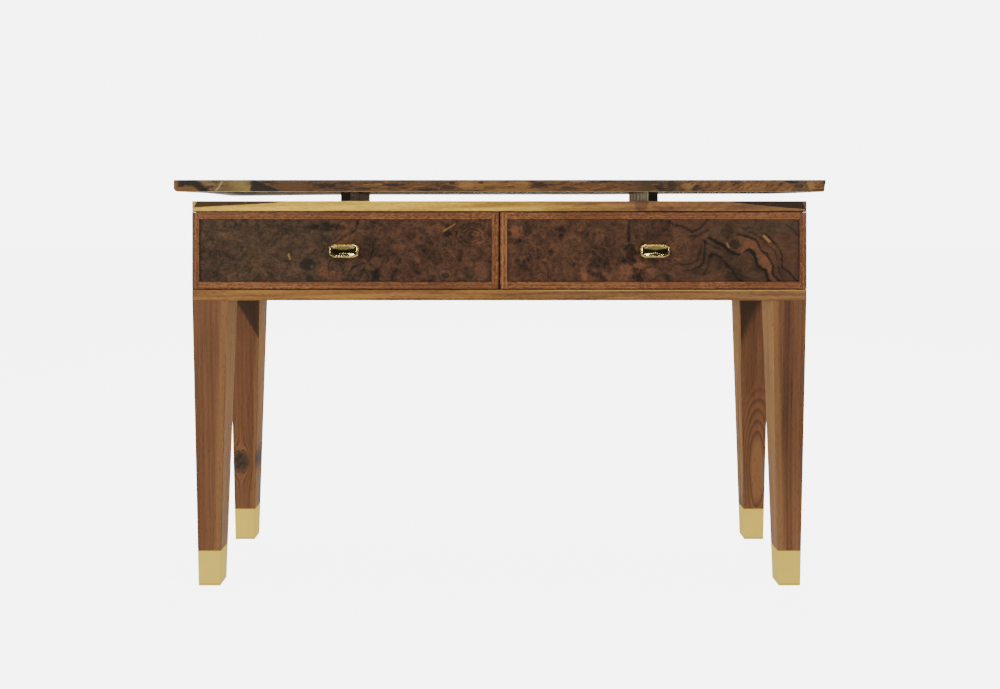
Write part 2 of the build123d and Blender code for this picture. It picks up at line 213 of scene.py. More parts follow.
class Finish(Bench):
    """A finish in the making: its material, its shader and the nodes that feed it."""

    def __init__(self, name, constants):
        self.material = bpy.data.materials.new(name)
        self.material.use_nodes = True
        super().__init__(self.material.node_tree)
        self.shader = self.tree.nodes["Principled BSDF"]
        for socket, value in constants.items():
            self.shader.inputs[socket].default_value = value
        self.place = self.add("ShaderNodeTexCoord", output="Object")
        self.x, self.y, self.z = self.parts(self.place)

    def spot(self, x, z, half_width, half_height, ragged, scale=60.0):
        """Ragged patch on an upright face: 1 inside, 0 outside."""
        unrest = (self.cloud(self.place, scale, 3.0) - 0.5) * (ragged * 4)
        return 1 - self.fit(self.reach(self.place, x, z, half_width, half_height) + unrest, 0.75, 1.25)

    def wear(self, height, depth, strength):
        """Bump from a height, given in fractions of a depth in metres."""
        return self.add("ShaderNodeBump", None, {"Strength": strength, "Distance": depth, "Height": height})

    def done(self, colour, roughness, normal):
        """Join the results to the shader."""
        for name, strand in (("Base Color", colour), ("Roughness", roughness), ("Normal", normal)):
            self.tree.links.new(strand.socket, self.shader.inputs[name])
        return self.material


# ---------------------------------------------------------------- wood patterns
OILED = {"IOR": 1.46, "Specular IOR Level": 0.35}
MATT = {"IOR": 1.46, "Specular IOR Level": 0.22}


class Grain:
    """The patterns of a sawn board: rings, broad streaks, fibres and pores."""

    def __init__(self, finish, run, seed, heart, ring, sway, bulge=None, across=None):
        axes = {"X": (finish.x, finish.z, finish.y), "Y": (finish.y, finish.x, finish.z)}
        axes["Z"] = (finish.z, finish.x, finish.y)
        along, side, deep = axes[run]
        if across is not None:
            side = across

        def drawn_out(length, breadth, *looks):
            """Noise drawn out along the grain."""
            return finish.weave(along * length + seed, side * breadth, deep * breadth, *looks)

        away = finish.vector(0.0, side - heart[0], deep - heart[1])
        self.distance = finish.length(away) + (drawn_out(1.6, 9) - 0.5) * sway
        if bulge is not None:
            self.distance = self.distance + bulge
        turn = (self.distance / ring).fraction()
        self.late = finish.fit(turn, 0.30, 0.88) * (1 - finish.fit(turn, 0.92, 1.0))
        self.streak = drawn_out(2.2, 75, 3.0, 0.6)
        self.fibre = drawn_out(22, 850)
        self.pore = finish.fit(drawn_out(95, 1500, 1.0), 0.60, 0.70)
        self.tone = drawn_out(3.5, 20)

    def figure(self, ring, streak, fibre):
        """The patterns together, from 0 where the wood is pale to 1 where it is dark."""
        return self.late * ring + (self.streak - 0.25) * (2 * streak) + (self.fibre - 0.4) * (2 * fibre)


def walnut_finish(finish, grain, colour, roughness=0.30):
    """Oiled walnut over a finished colour: pores, fibre sheen and a fine bump."""
    pored = finish.mix(grain.pore * 0.45, colour, (0.035, 0.018, 0.012))
    dull = roughness + grain.fibre * 0.16 + grain.pore * 0.2
    height = grain.fibre * 0.35 - grain.pore * 0.8 + grain.late * 0.25
    return finish.done(pored, dull, finish.wear(height, 0.25 * MM, 0.5))


# ---------------------------------------------------------------- colours
LEG_TONES = [(0.0, (0.235, 0.108, 0.043)), (0.5, (0.150, 0.063, 0.027)), (1.0, (0.068, 0.029, 0.015))]
FRAME_TONES = [(0.0, (0.330, 0.135, 0.046)), (0.5, (0.150, 0.056, 0.024)), (1.0, (0.055, 0.021, 0.012))]
SAP_TONES = [(0.0, (0.900, 0.590, 0.078)), (0.5, (0.560, 0.325, 0.050)), (1.0, (0.220, 0.105, 0.026))]
OCHRE_TONES = [(0.0, (0.364, 0.181, 0.046)), (0.5, (0.205, 0.091, 0.030)), (1.0, (0.086, 0.035, 0.017))]
HEART_TONES = [(0.0, (0.290, 0.145, 0.050)), (0.5, (0.170, 0.080, 0.033)), (1.0, (0.070, 0.033, 0.018))]
GOLDEN = (0.270, 0.135, 0.050)
SAPWOOD = {-1: (0.320, 0.150, 0.043), 1: (0.370, 0.178, 0.048)}
KNOT = (0.030, 0.021, 0.015)
KNOT_SWIRL = (0.075, 0.046, 0.029)
BURR = (0.070, 0.038, 0.022)
# Painted shadow tints of the slab's ends on the top board, one for each side
SLAB_SHADOW_TINT = {-1: (0.042, 0.019, 0.009), 1: (0.027, 0.014, 0.008)}
SHADOWED = (0.040, 0.024, 0.015)


# ---------------------------------------------------------------- finishes of the wood
def inner_depth(finish, side):
    """How far a point of a leg is in from its inner face, in metres."""
    inset = foot_inner - leg_top_inner
    face = leg_top_inner + inset * (1 - finish.z / leg_height)
    return finish.x * side - face


def bulge_round(finish, x, z, radius, amount):
    """A hump in the ring pattern around a knot."""
    return amount / (1 + finish.reach(finish.place, x, z, radius, radius / 0.6) ** 2)


def around_knot(finish, across, x, z, radius):
    """Sideways place that carries the grain round a knot, as water goes round a post."""
    aside = across - x
    along = (finish.z - z) * 0.55
    squared = aside * aside + along * along + (0.35 * radius) ** 2
    return x + aside * (1 - radius ** 2 / squared)


def arches(finish, x, z, half_width, half_height):
    """Pointed arches one over another. Gives the arches, and how far from their middle a place is."""
    bent = finish.drift(finish.place, 11.0, 0.014, 2.0)
    reach = finish.reach(bent, x, z, half_width, half_height)
    turn = ((reach - 1.02) / 0.39).fraction()
    line = finish.fit(turn, 0.35, 0.90) * (1 - finish.fit(turn, 0.93, 1.0))
    return line * finish.fit(reach, 1.0, 1.1), reach


def flow_lines(finish, grain, across, knot):
    """Dark lines above and below a knot, where the grain parts round it."""
    x, z, half_width, half_height = knot
    near = 1 - finish.fit(finish.reach(finish.place, x, z, 3.0 * half_width, 4.6 * half_height), 0.30, 1.0)
    turn = ((across - x + (grain.streak - 0.5) * (5 * MM)) / (5.5 * MM)).fraction()
    lines = finish.fit(turn, 0.40, 0.85) * (1 - finish.fit(turn, 0.90, 1.0))
    return near * (lines - 0.25) * 0.62


def with_knot(finish, colour, x, z, half_width, half_height):
    """A colour with a dark knot set in it, and the brown burr round the knot."""
    burr = finish.spot(x, z, half_width * 1.35, half_height * 1.45, 0.10, 90.0)
    core = finish.spot(x, z, half_width, half_height, 0.09, 120.0)
    swirl = finish.cloud(finish.drift(finish.place, 60.0, 0.03, 2.0), 90.0, 4.0, 0.6)
    colour = finish.mix(burr * 0.62, colour, BURR)
    dark = finish.mix(finish.fit(swirl, 0.42, 0.62), KNOT, KNOT_SWIRL)
    return finish.mix(core * 0.94, colour, dark)


def leg_finish(
    name, side, seed, heart, knots=(), band=None, arch=None, corner=None, gold=6 * MM, foot_pale=0.0,
    shade=0.0,
):
    """Walnut leg whose inner face is sapwood. A corner paints the case's shadow on the leg's top."""
    finish = Finish(name, MATT)
    across = finish.x
    for x, z, half_width, _ in knots:
        across = around_knot(finish, across, x, z, half_width * 1.25)
    grain = Grain(finish, "Z", seed, heart, ring=8 * MM, sway=16 * MM, across=across)
    line = finish.weave(finish.z * 3 + seed, across * 330, finish.y * 330)
    figure = grain.figure(0.13, 0.40, 0.20) + finish.fit(line, 0.54, 0.70) * 0.22 + 0.03
    figure = figure - (1 - finish.fit(finish.z, 0.05, 0.36)) * foot_pale + shade
    for knot in knots[:1]:
        figure = figure + flow_lines(finish, grain, across, knot)
    if band is not None:
        centre, half, depth = band
        wander = (grain.streak - 0.5) * (12 * MM)
        figure = figure + (1 - finish.fit(abs(finish.x - centre + wander), half * 0.2, half)) * depth
    if arch is not None:
        rings, reach = arches(finish, *arch)
        near = 1 - finish.fit(reach, 2.3, 3.6)
        middle = 1 - finish.fit(reach, 0.75, 1.25)
        figure = figure * (1 - near * 0.40) + near * rings * 0.42 + near * 0.10 - middle * 0.38
    colour = finish.ramp(figure, LEG_TONES)
    depth = inner_depth(finish, side) + (grain.streak - 0.5) * (7 * MM)
    if gold:
        golden = 1 - finish.fit(depth, gold, gold * 1.9)
        colour = finish.mix(golden * (0.35 + grain.tone * 0.5), colour, GOLDEN)
    # Painted shadow: the case's shadow on a back leg's top, dark (SHADOWED) beyond a slanted edge
    if corner is not None:
        x, z, slope, soft = corner
        past_shadow_edge = (finish.z - z) - (finish.x - x) * slope + (line - 0.5) * soft
        colour = finish.mix(finish.fit(past_shadow_edge, 0.0, soft) * 0.85, colour, SHADOWED)
    sap = 1 - finish.fit(depth, 0.6 * MM, 2.0 * MM)
    darker = tuple(value * 0.55 for value in SAPWOOD[side])
    sap_figure = grain.late * 0.20 + (grain.tone - 0.4) * 0.8 + (grain.fibre - 0.5) * 0.5
    colour = finish.mix(sap * 0.95, colour, finish.mix(sap_figure, SAPWOOD[side], darker))
    for knot in knots:
        colour = with_knot(finish, colour, *knot)
    return walnut_finish(finish, grain, colour, 0.36)


def frame_finish(name, run, seed, heart, shade=0.0, stripes=0.0):
    """Straight-grained walnut of the drawer frames, with bright flecks."""
    finish = Finish(name, MATT)
    grain = Grain(finish, run, seed, heart, ring=5 * MM, sway=6 * MM)
    colour = finish.ramp(grain.figure(0.20, 0.50, 0.26) + shade, FRAME_TONES)
    along, side = (finish.x, finish.z) if run == "X" else (finish.z, finish.x)
    fleck = finish.weave(along * 190 + seed, side * 520, finish.y * 520, 2.0, 0.6)
    patchy = finish.fit(finish.weave(along * 6 + seed, side * 30, 0.0), 0.38, 0.62)
    colour = finish.mix(finish.fit(fleck, 0.51, 0.62) * patchy * 0.50, colour, (0.420, 0.195, 0.068))
    colour = finish.mix((1 - finish.fit(fleck, 0.38, 0.48)) * 0.55, colour, (0.055, 0.022, 0.013))
    if stripes:
        line = finish.weave(along * 2 + seed, side * 260, 0.0, 1.0)
        colour = finish.mix(finish.fit(line, 0.50, 0.62) * stripes, colour, (0.360, 0.165, 0.058))
    return walnut_finish(finish, grain, colour)


def slab_shadow_mask(finish, side, length, thick, flame):
    """Painted shadow of the slab's end: a dark wedge that widens towards one end of the top board's upper
    edge, lighter in a lit triangle at the very end.
    """
    along = (finish.x * side - (case_end - length)) / length
    edge = board_high.z - along ** 0.7 * thick + (flame - 0.5) * (4 * MM)
    dark = finish.fit(finish.z - edge, -0.5 * MM, 0.6 * MM) * finish.fit(along, 0.0, 0.08)
    # Painted light: a slanted lit triangle at the board's end, where light comes round the slab's end
    lit_end_reach = (case_end - finish.x * side) - (finish.z - board_low.z - 2 * MM) * 0.5
    return dark * (0.25 + finish.fit(lit_end_reach, 0.0, 1.5 * MM) * 0.72)


def board_finish(name, low, seed, start, end, slab_shadows, sap_tones=SAP_TONES, smudge=False, rim=False):
    """Board of sapwood that turns to heartwood from left to right, with painted shadows of the slab's ends
    and, where asked, a painted highlight along the top arris.
    """
    finish = Finish(name, MATT)
    rings = bulge_round(finish, 0.345, board_low.z - 4 * MM, 46 * MM, 26 * MM)
    grain = Grain(finish, "X", seed, (0.66, -0.05), ring=8 * MM, sway=22 * MM, bulge=rings)
    flame = finish.weave(finish.x * 7 + seed, finish.y * 30, finish.z * 110 - finish.x * 3, 4.0, 0.6, 0.4)
    curl = finish.weave(finish.x * 110 + seed, finish.y * 300, finish.z * 520, 2.0, 0.6)
    figure = grain.figure(0.16, 0.30, 0.18) + (flame - 0.5) * 1.5 + (curl - 0.5) * 0.75
    wander = (flame - 0.5) * 0.42 + (grain.tone - 0.5) * 0.2
    heart = finish.fit(finish.x + wander + (finish.z - low.z) * 5.0, start, end)
    sap = finish.ramp(figure + 0.03, sap_tones)
    brown = finish.ramp(figure + 0.05, HEART_TONES)
    colour = finish.mix(heart, sap, brown)
    # Painted shadows of the slab's ends on the top board's upper edge
    for side, length, thick in slab_shadows:
        colour = finish.mix(slab_shadow_mask(finish, side, length, thick, flame), colour, SLAB_SHADOW_TINT[side])
    if smudge:
        smoke = finish.spot(0.265, board_high.z - 7 * MM, 12 * MM, 14 * MM, 0.35, 60.0)
        colour = finish.mix(smoke * 0.55, colour, (0.060, 0.034, 0.022))
    # Painted highlight: a bright golden line along the bottom board's top arris, towards the right
    if rim:
        uneven = finish.z + (curl - 0.5) * (2 * MM)
        line = finish.fit(uneven, base_high.z - 3.2 * MM, base_high.z - 1.4 * MM)
        right = finish.fit(finish.x + (flame - 0.5) * 0.3, 0.02, 0.12)
        colour = finish.mix(line * right * 0.75, colour, (0.560, 0.340, 0.085))
    return walnut_finish(finish, grain, colour)


def plain_walnut(name, run, seed, heart=(0.5, -0.4)):
    """Walnut of the case's ends, back and divider."""
    finish = Finish(name, OILED)
    grain = Grain(finish, run, seed, heart, ring=8 * MM, sway=40 * MM)
    colour = finish.ramp(grain.figure(0.34, 0.40, 0.14) + (grain.tone - 0.5) * 0.5, LEG_TONES)
    return walnut_finish(finish, grain, colour)


BURL_TONES = [
    (0.0, (0.015, 0.009, 0.006)),
    (0.25, (0.038, 0.020, 0.012)),
    (0.50, (0.078, 0.037, 0.021)),
    (0.72, (0.120, 0.054, 0.028)),
    (1.0, (0.205, 0.074, 0.031)),
]
OLIVE_TONES = [
    (0.0, (0.013, 0.010, 0.007)),
    (0.25, (0.034, 0.022, 0.013)),
    (0.50, (0.068, 0.041, 0.024)),
    (0.72, (0.100, 0.058, 0.031)),
    (1.0, (0.150, 0.078, 0.038)),
]
BURL_GOLD = (0.290, 0.160, 0.045)


class Vein:
    """A line in the wood, drawn through (x, z) places in millimetres, read along a slanted ruler."""

    def __init__(self, finish, place, slant, places):
        angle = math.radians(slant)
        ahead = (math.cos(angle), 0.0, math.sin(angle))
        upward = (-math.sin(angle), 0.0, math.cos(angle))
        self.finish = finish
        runs = [(x * ahead[0] + z * ahead[2]) * MM for x, z in places]
        rises = [(x * upward[0] + z * upward[2]) * MM for x, z in places]
        low, high = min(rises), max(rises) + 0.01 * MM
        start, stop = runs[0], runs[-1]
        bends = []
        for run, rise in zip(runs, rises):
            bends.append(((run - start) / (stop - start), (rise - low) / (high - low)))
        self.run = finish.along(place, ahead)
        share = finish.rise(self.run, start, stop)
        height = finish.add("ShaderNodeFloatCurve", {"bends": bends}, {"Value": share})
        self.gap = finish.along(place, upward) - (height * (high - low) + low)
        fade = 4 * MM
        begun = finish.fit(self.run, start - fade, start)
        self.within = begun * (1 - finish.fit(self.run, stop, stop + fade))

    def line(self, width):
        """1 on the line, 0 away from it."""
        return (1 - self.finish.fit(abs(self.gap), width * 0.25, width * 0.75)) * self.within

    def fringe(self, reach):
        """Shade that fades out on one side of the line: above it, or below it if reach is negative."""
        side = self.gap if reach > 0 else 0 - self.gap
        near = 1 - self.finish.fit(side, 0.0, abs(reach))
        return near * self.finish.fit(side, -1 * MM, 0.5 * MM) * self.within


def joined(masks):
    """The greatest of several masks."""
    result = masks[0]
    for mask in masks[1:]:
        result = result.most(mask)
    return result


class Burl:
    """The patterns of burl veneer: curls, eyes, contour lines and fine mottle."""

    def __init__(self, finish, seed):
        self.finish = finish
        moved = finish.moved(finish.place, (seed, 0.0, seed * 0.7))
        swirled = finish.drift(moved, 16.0, 0.050, 3.0)
        curled = finish.drift(swirled, 55.0, 0.014, 2.0)
        self.mottle = finish.cloud(curled, 48.0, 5.0, 0.62, 0.8)
        self.broad = finish.cloud(swirled, 13.0, 3.0, 0.5)
        self.red = finish.cloud(swirled, 24.0, 3.0, 0.55)
        self.lines = abs((finish.cloud(curled, 20.0, 3.0, 0.55) * 17).fraction() - 0.5) * 2
        self.hair = finish.fit(abs(finish.cloud(swirled, 60.0, 4.0, 0.6) - 0.5), 0.0, 0.035)
        shaken = finish.drift(moved, 80.0, 0.010, 2.0)
        eyes = finish.cells(shaken, 50.0)
        some = finish.fit(finish.cloud(moved, 30.0, 1.0), 0.42, 0.58)
        self.eye = (1 - finish.fit(eyes, 0.06, 0.30)) * some
        self.rim = finish.fit(eyes, 0.22, 0.42) * (1 - finish.fit(eyes, 0.42, 0.66))
        self.streaks = finish.cloud(finish.stretched(curled, (70.0, 1.0, 190.0)), 1.0, 3.0, 0.6)
        self.grit = finish.cloud(moved, 480.0, 3.0, 0.6)
        self.warped = finish.drift(finish.drift(finish.place, 45.0, 0.008, 2.0), 170.0, 0.0035, 2.0)

    def vein(self, slant, places):
        """A line that shares the burl's own unrest."""
        return Vein(self.finish, self.warped, slant, places)

    def tone(self, eyed, curls=1.0):
        """Burl as a value: 0 black, 0.5 brown, 1 orange. eyed is where the eyes show."""
        tone = (self.mottle - 0.5) * (1.15 * curls) + (self.broad - 0.5) * 0.55 + 0.50
        tone = tone - (1 - self.finish.fit(self.lines, 0.0, 0.50)) * (0.19 * curls)
        tone = tone - (1 - self.hair) * (0.13 * curls)
        tone = tone + self.rim * eyed * 0.12 - self.eye * eyed * 0.22
        return tone + (self.grit - 0.5) * 0.42

    def ringed(self, x, z, half_width, half_height, count, depth):
        """Closed rings around a place, given in millimetres."""
        reach = self.finish.reach(self.warped, x * MM, z * MM, half_width * MM, half_height * MM)
        near = 1 - self.finish.fit(reach, 0.75, 1.1)
        return (reach * (count * math.tau)).wave() * near * depth

    def patch(self, x, z, half_width, half_height, ragged, scale=70.0):
        """Ragged patch whose centre and half sizes are given in millimetres."""
        return self.finish.spot(x * MM, z * MM, half_width * MM, half_height * MM, ragged, scale)

    def patches(self, *rows):
        """The greatest of several patches. Each row is a strength, then the patch's own numbers."""
        return joined([self.patch(*row) * strength for strength, *row in rows])

    def finished(self, colour, eyed):
        """Satin lacquer over the tiny relief of the eyes and lines."""
        finish = self.finish
        roughness = 0.24 + self.grit * 0.10
        height = self.grit * 0.4 + self.lines * 0.3 - self.eye * eyed * 0.6
        return finish.done(colour, roughness, finish.wear(height, 0.2 * MM, 0.35))


def left_burl():
    """Left panel: calm on the left, a round knot, a flow of dark bands, then many eyes."""
    finish = Finish("burl_left", OILED)
    burl = Burl(finish, 3.1)
    eyed = finish.fit(finish.x + (burl.broad - 0.5) * 0.12, -0.23, -0.15) * 0.85 + 0.15
    tone = burl.tone(eyed)
    tone = tone + (burl.streaks - 0.5) * (1 - eyed) * 0.5
    diagonal = burl.vein(45, [
        (-306, 646), (-298, 651), (-288, 657), (-277, 664), (-269, 670), (-265, 681), (-261, 690),
    ])
    hook = burl.vein(40, [
        (-284, 584), (-280, 593), (-273, 601), (-262, 604), (-252, 606), (-244, 612), (-240, 622),
        (-236, 634), (-235, 646),
    ])
    long_arc = burl.vein(20, [
        (-382, 660), (-360, 652), (-342, 646), (-326, 647), (-310, 652), (-298, 662), (-284, 676),
        (-276, 690),
    ])
    dark = joined([diagonal.line(5 * MM), hook.line(3.5 * MM) * 0.8, long_arc.line(4 * MM) * 0.5])
    tone = tone - dark * 0.26 - diagonal.fringe(9 * MM) * 0.14 + diagonal.fringe(-16 * MM) * 0.10
    smoke = burl.patches(
        (1, -324, 675, 30, 9, 0.45, 35.0), (1, -232, 585, 9, 11, 0.35), (0.7, -396, 602, 4.5, 11, 0.5),
        (0.6, -165, 660, 12, 7, 0.7), (1, -98, 663, 9, 7, 0.5),
    )
    warm = burl.patches(
        (1, -330, 593, 7, 17, 0.4), (1, -310, 582, 16, 8, 0.6), (1, -292, 668, 10, 18, 0.5, 30.0),
        (1, -63, 606, 11, 8, 0.6), (1, -36, 592, 9, 20, 0.5), (0.6, -185, 636, 22, 10, 0.7, 40.0),
    )
    tone = tone - smoke * 0.27 + warm * 0.17
    for rings in (
        (-303, 601, 24, 20, 3.5, 0.09), (-50, 660, 36, 24, 4.2, 0.11),
        (-359, 603, 36, 28, 4.5, 0.06), (-102, 585, 18, 17, 2.5, 0.10),
    ):
        tone = tone + burl.ringed(*rings)
    crown = burl.vein(0, [(-80, 664), (-66, 677), (-50, 682), (-34, 677), (-22, 664), (-14, 652)])
    tone = tone - crown.line(5 * MM) * 0.20
    colour = finish.ramp(tone, BURL_TONES)
    olive = 1 - finish.fit(finish.x + (burl.broad - 0.5) * 0.4, -0.33, -0.20)
    green = olive.most(finish.fit(burl.red, 0.52, 0.60) * 0.6)
    colour = finish.mix(green * (1 - warm) * 0.75, colour, finish.ramp(tone, OLIVE_TONES))
    ring = burl.patch(-359, 604, 19, 16, 0.06)
    knot = burl.patch(-359, 604, 14, 12, 0.10)
    lower_knot = burl.patch(-356, 578, 6, 6, 0.35)
    colour = finish.mix(ring * 0.35, colour, (0.060, 0.040, 0.024))
    colour = finish.mix(knot.most(lower_knot * 0.8) * 0.88, colour, (0.021, 0.016, 0.011))
    colour = finish.mix(burl.patch(-351, 600.5, 4, 4, 0.2) * 0.7, colour, (0.080, 0.052, 0.034))
    fleck = burl.patches((0.8, -395, 622, 2.0, 3.6, 0.3, 200.0), (0.8, -393, 616, 1.6, 3.6, 0.3, 200.0))
    slip = Vein(finish, finish.place, 30, [(-104, 667), (-84, 679.5)])
    colour = finish.mix(fleck.most(slip.line(3 * MM) * 0.6), colour, BURL_GOLD)
    return burl.finished(colour, eyed)


def right_burl():
    """Right panel: eyes on the left, orange patches, and bold dark waves on the right."""
    finish = Finish("burl_right", OILED)
    burl = Burl(finish, 8.6)
    waved = finish.fit(finish.x + (burl.broad - 0.5) * 0.15, 0.32, 0.37)
    eyed = 1 - waved * 0.85
    tone = burl.tone(eyed, 1.0) * (1 - waved) + burl.tone(eyed, 0.45) * waved
    tone = tone + (burl.streaks - 0.5) * waved * 0.45
    ridge = burl.vein(-45, [
        (392, 656), (410, 645), (422, 638), (430, 630), (440, 625), (450, 623.5), (461, 632), (467, 633),
        (476, 628), (480, 620), (482, 610), (486, 601), (492, 596), (499, 594), (503, 584), (507, 575),
        (512, 568),
    ])
    bank = burl.vein(-45, [
        (446, 660), (462, 658), (471, 653), (480, 649), (487, 640), (492, 630), (500, 623), (507, 612),
        (511, 604), (511, 594), (514, 585), (520, 579), (528, 569),
    ])
    shelf = burl.vein(-45, [
        (470, 663), (480, 661), (490, 655), (500, 647), (507, 638), (516, 630), (520, 621), (521, 610),
        (520, 601), (523, 592), (531, 583), (535, 570),
    ])
    brow = burl.vein(-45, [
        (500, 662), (514, 647), (524, 634), (529, 622), (529, 609), (528, 601), (533, 595), (540, 592),
        (548, 583), (556, 574), (564, 568),
    ])
    corner = burl.vein(-45, [(538, 678), (550, 668), (562, 658)])
    crescent = burl.vein(0, [
        (320, 682), (328, 677), (339, 676), (349, 671), (355, 668), (361, 666), (372, 668), (378, 672),
        (384, 680), (391, 688),
    ])
    eyelid = burl.vein(12, [(354, 657), (368, 658), (380, 663), (390, 667)])
    cliff = burl.vein(70, [
        (344, 592), (361, 595), (370, 599), (378, 604), (383, 612), (384, 622), (384, 634), (386, 648),
    ])
    cove = burl.vein(60, [(330, 606), (345, 603), (361, 607), (370, 613), (372, 620), (375, 628), (379, 640)])
    flank = burl.vein(75, [(380, 584), (387, 592), (392, 600), (393, 608), (394, 618), (397, 625)])
    slope = burl.vein(-35, [
        (394, 622), (400, 623), (408, 621), (415, 616), (419, 611), (427, 606), (434, 598), (438, 590),
        (446, 579), (460, 570),
    ])
    saddle = burl.vein(-25, [(383, 648), (391, 642), (401, 637), (412, 632)])
    notch = burl.vein(0, [(450, 676), (460, 670), (465, 673), (473, 671), (479, 681)])
    strong = joined([
        ridge.line(6.5 * MM), bank.line(5 * MM), slope.line(5 * MM) * 0.5, saddle.line(5 * MM) * 0.6,
        brow.line(3.4 * MM),
    ])
    weak = joined([
        shelf.line(3 * MM), corner.line(4.5 * MM), crescent.line(4.5 * MM), eyelid.line(5 * MM),
        cliff.line(4 * MM), cove.line(4 * MM), flank.line(4.5 * MM), notch.line(4 * MM),
    ])
    smoke = burl.patches(
        (0.8, 428, 664, 11, 13, 0.4, 50.0), (1, 441, 643, 9, 9, 0.5, 80.0),
        (0.7, 440, 584, 18, 14, 0.5, 40.0),
        (0.7, 370, 590, 26, 7, 0.5, 40.0), (1, 312, 577, 8, 8, 0.4), (0.5, 480, 622, 18, 9, 0.4),
    )
    shade = joined([
        ridge.fringe(-15 * MM), slope.fringe(-13 * MM) * 0.9, cliff.fringe(-9 * MM) * 0.6,
        crescent.fringe(7 * MM) * 0.8, smoke,
    ])
    river = finish.fit(ridge.gap, 0.5 * MM, 2.5 * MM) * (1 - finish.fit(bank.gap, -2.5 * MM, -0.5 * MM))
    river = river * bank.within * finish.fit(finish.x + (burl.mottle - 0.5) * 0.03, 0.444, 0.462)
    hill = burl.patch(398, 578, 24, 20, 0.25, 40.0)
    field = burl.patch(340, 640, 18, 30, 0.35, 40.0)
    orange = burl.patches(
        (1, 215, 583, 21, 12, 0.45), (1, 236, 594, 15, 11, 0.5), (1, 157, 588, 6.5, 17, 0.4),
        (1, 264, 602, 13, 5, 0.5), (1, 284, 592, 10, 5.5, 0.5), (0.8, 32, 668, 10, 10, 0.5),
        (0.7, 85, 613, 7, 4, 0.5),
    )
    stain = burl.patches(
        (1, 242.5, 665, 2.8, 26, 0.18), (1, 245, 630, 12, 13, 0.8, 130.0), (1, 243, 611, 10, 9, 0.8, 130.0),
        (0.7, 52, 668, 7, 14, 0.5), (0.7, 27, 648, 14, 5, 0.5), (0.6, 118, 664, 8, 12, 0.5),
        (0.5, 262, 582, 12, 10, 0.5), (0.5, 178, 586, 9, 6, 0.5),
    )
    tone = tone - shade * 0.20 * waved.most(0.5) + (river * 0.24 + hill * 0.10 + field * 0.12 * (1 - shade))
    tone = tone + orange * 0.30 - stain * 0.30 * (1 - orange * 0.7)
    tone = tone - strong * 0.36 - weak * 0.24
    tone = tone + burl.ringed(337, 634, 24, 22, 3.5, 0.06) + burl.ringed(67, 625, 24, 20, 3.5, 0.08)
    colour = finish.ramp(tone, BURL_TONES)
    reddish = finish.fit(burl.red, 0.53, 0.62)
    grey = joined([burl.patch(520, 676, 60, 12, 0.5, 30.0), shade * 0.6, reddish * 0.5])
    colour = finish.mix(grey * (1 - river) * (1 - orange) * 0.8, colour, finish.ramp(tone, OLIVE_TONES))
    fleck = Vein(finish, finish.place, -45, [(496.5, 657), (506, 647.5)])
    drop = Vein(finish, finish.place, -68, [(426.5, 643.5), (429.5, 637)])
    colour = finish.mix((fleck.line(5 * MM) * 0.85).most(drop.line(3.4 * MM) * 0.6), colour, BURL_GOLD)
    return burl.finished(colour, eyed)


# Colours along the slab's front edge, from its left end to its right end, in millimetres
SLAB_ZONES = [
    (-600, (0.170, 0.082, 0.034)), (-556, (0.165, 0.080, 0.034)), (-546, (0.150, 0.095, 0.045)),
    (-515, (0.145, 0.092, 0.041)), (-500, (0.200, 0.141, 0.056)), (-480, (0.240, 0.176, 0.063)),
    (-466, (0.190, 0.125, 0.050)), (-456, (0.085, 0.052, 0.030)), (-430, (0.105, 0.053, 0.028)),
    (-385, (0.110, 0.055, 0.029)), (-250, (0.120, 0.060, 0.031)), (-100, (0.118, 0.062, 0.031)),
    (-80, (0.200, 0.100, 0.040)), (40, (0.210, 0.105, 0.041)), (62, (0.135, 0.068, 0.035)),
    (190, (0.132, 0.062, 0.032)), (240, (0.110, 0.056, 0.031)), (250, (0.078, 0.045, 0.027)),
    (283, (0.070, 0.042, 0.026)), (315, (0.088, 0.052, 0.030)), (332, (0.140, 0.070, 0.034)),
    (460, (0.165, 0.079, 0.035)), (526, (0.150, 0.075, 0.036)), (534, (0.105, 0.066, 0.038)),
    (560, (0.120, 0.074, 0.040)), (568, (0.215, 0.105, 0.042)), (586, (0.190, 0.092, 0.038)),
    (596, (0.105, 0.056, 0.030)),
]
SLAB_TONES = [(0.0, (0.190, 0.098, 0.048)), (0.5, (0.120, 0.060, 0.034)), (1.0, (0.055, 0.030, 0.020))]
SLAB_DARK = (0.026, 0.018, 0.013)
SLAB_GOLD = (0.300, 0.155, 0.052)
# Dark flecks on the front edge: x, z, half width, half height, strength
SLAB_FLECKS = [
    (-322, 752, 20, 3.6, 0.8), (-288, 755, 14, 2.6, 0.8), (-252, 746, 14, 3.0, 0.6),
    (-196, 753, 18, 2.6, 0.85),
    (-176, 747, 9, 2.0, 0.6), (-130, 744, 22, 2.6, 0.85), (-96, 748, 14, 4.0, 0.7), (-88, 756, 6, 2.4, 0.8),
    (-34, 757, 6, 2.4, 0.8), (-16, 747, 11, 3.0, 0.5), (74, 752, 13, 5.0, 0.6), (126, 747, 14, 4.0, 0.5),
    (297, 749, 9, 8.0, 0.7), (318, 752, 8, 7.0, 0.6), (366, 746, 9, 2.6, 0.7), (438, 757, 12, 2.6, 0.5),
    (541, 758, 14, 3.4, 0.9), (553, 751, 7, 4.0, 0.6), (592, 743, 14, 2.4, 0.6),
]
SLAB_GLOWS = [
    (143, 760, 17, 2.6, 0.8), (345, 750, 10, 6.0, 0.5), (-60, 752, 16, 5.0, 0.5), (574, 752, 7, 8.0, 0.6),
]
# Calm places on the front edge: x in metres, then half width and half height
SLAB_CLEAR = [(-0.582, 22, 10), (-0.486, 26, 30), (-0.380, 28, 20), (0.264, 20, 20)]


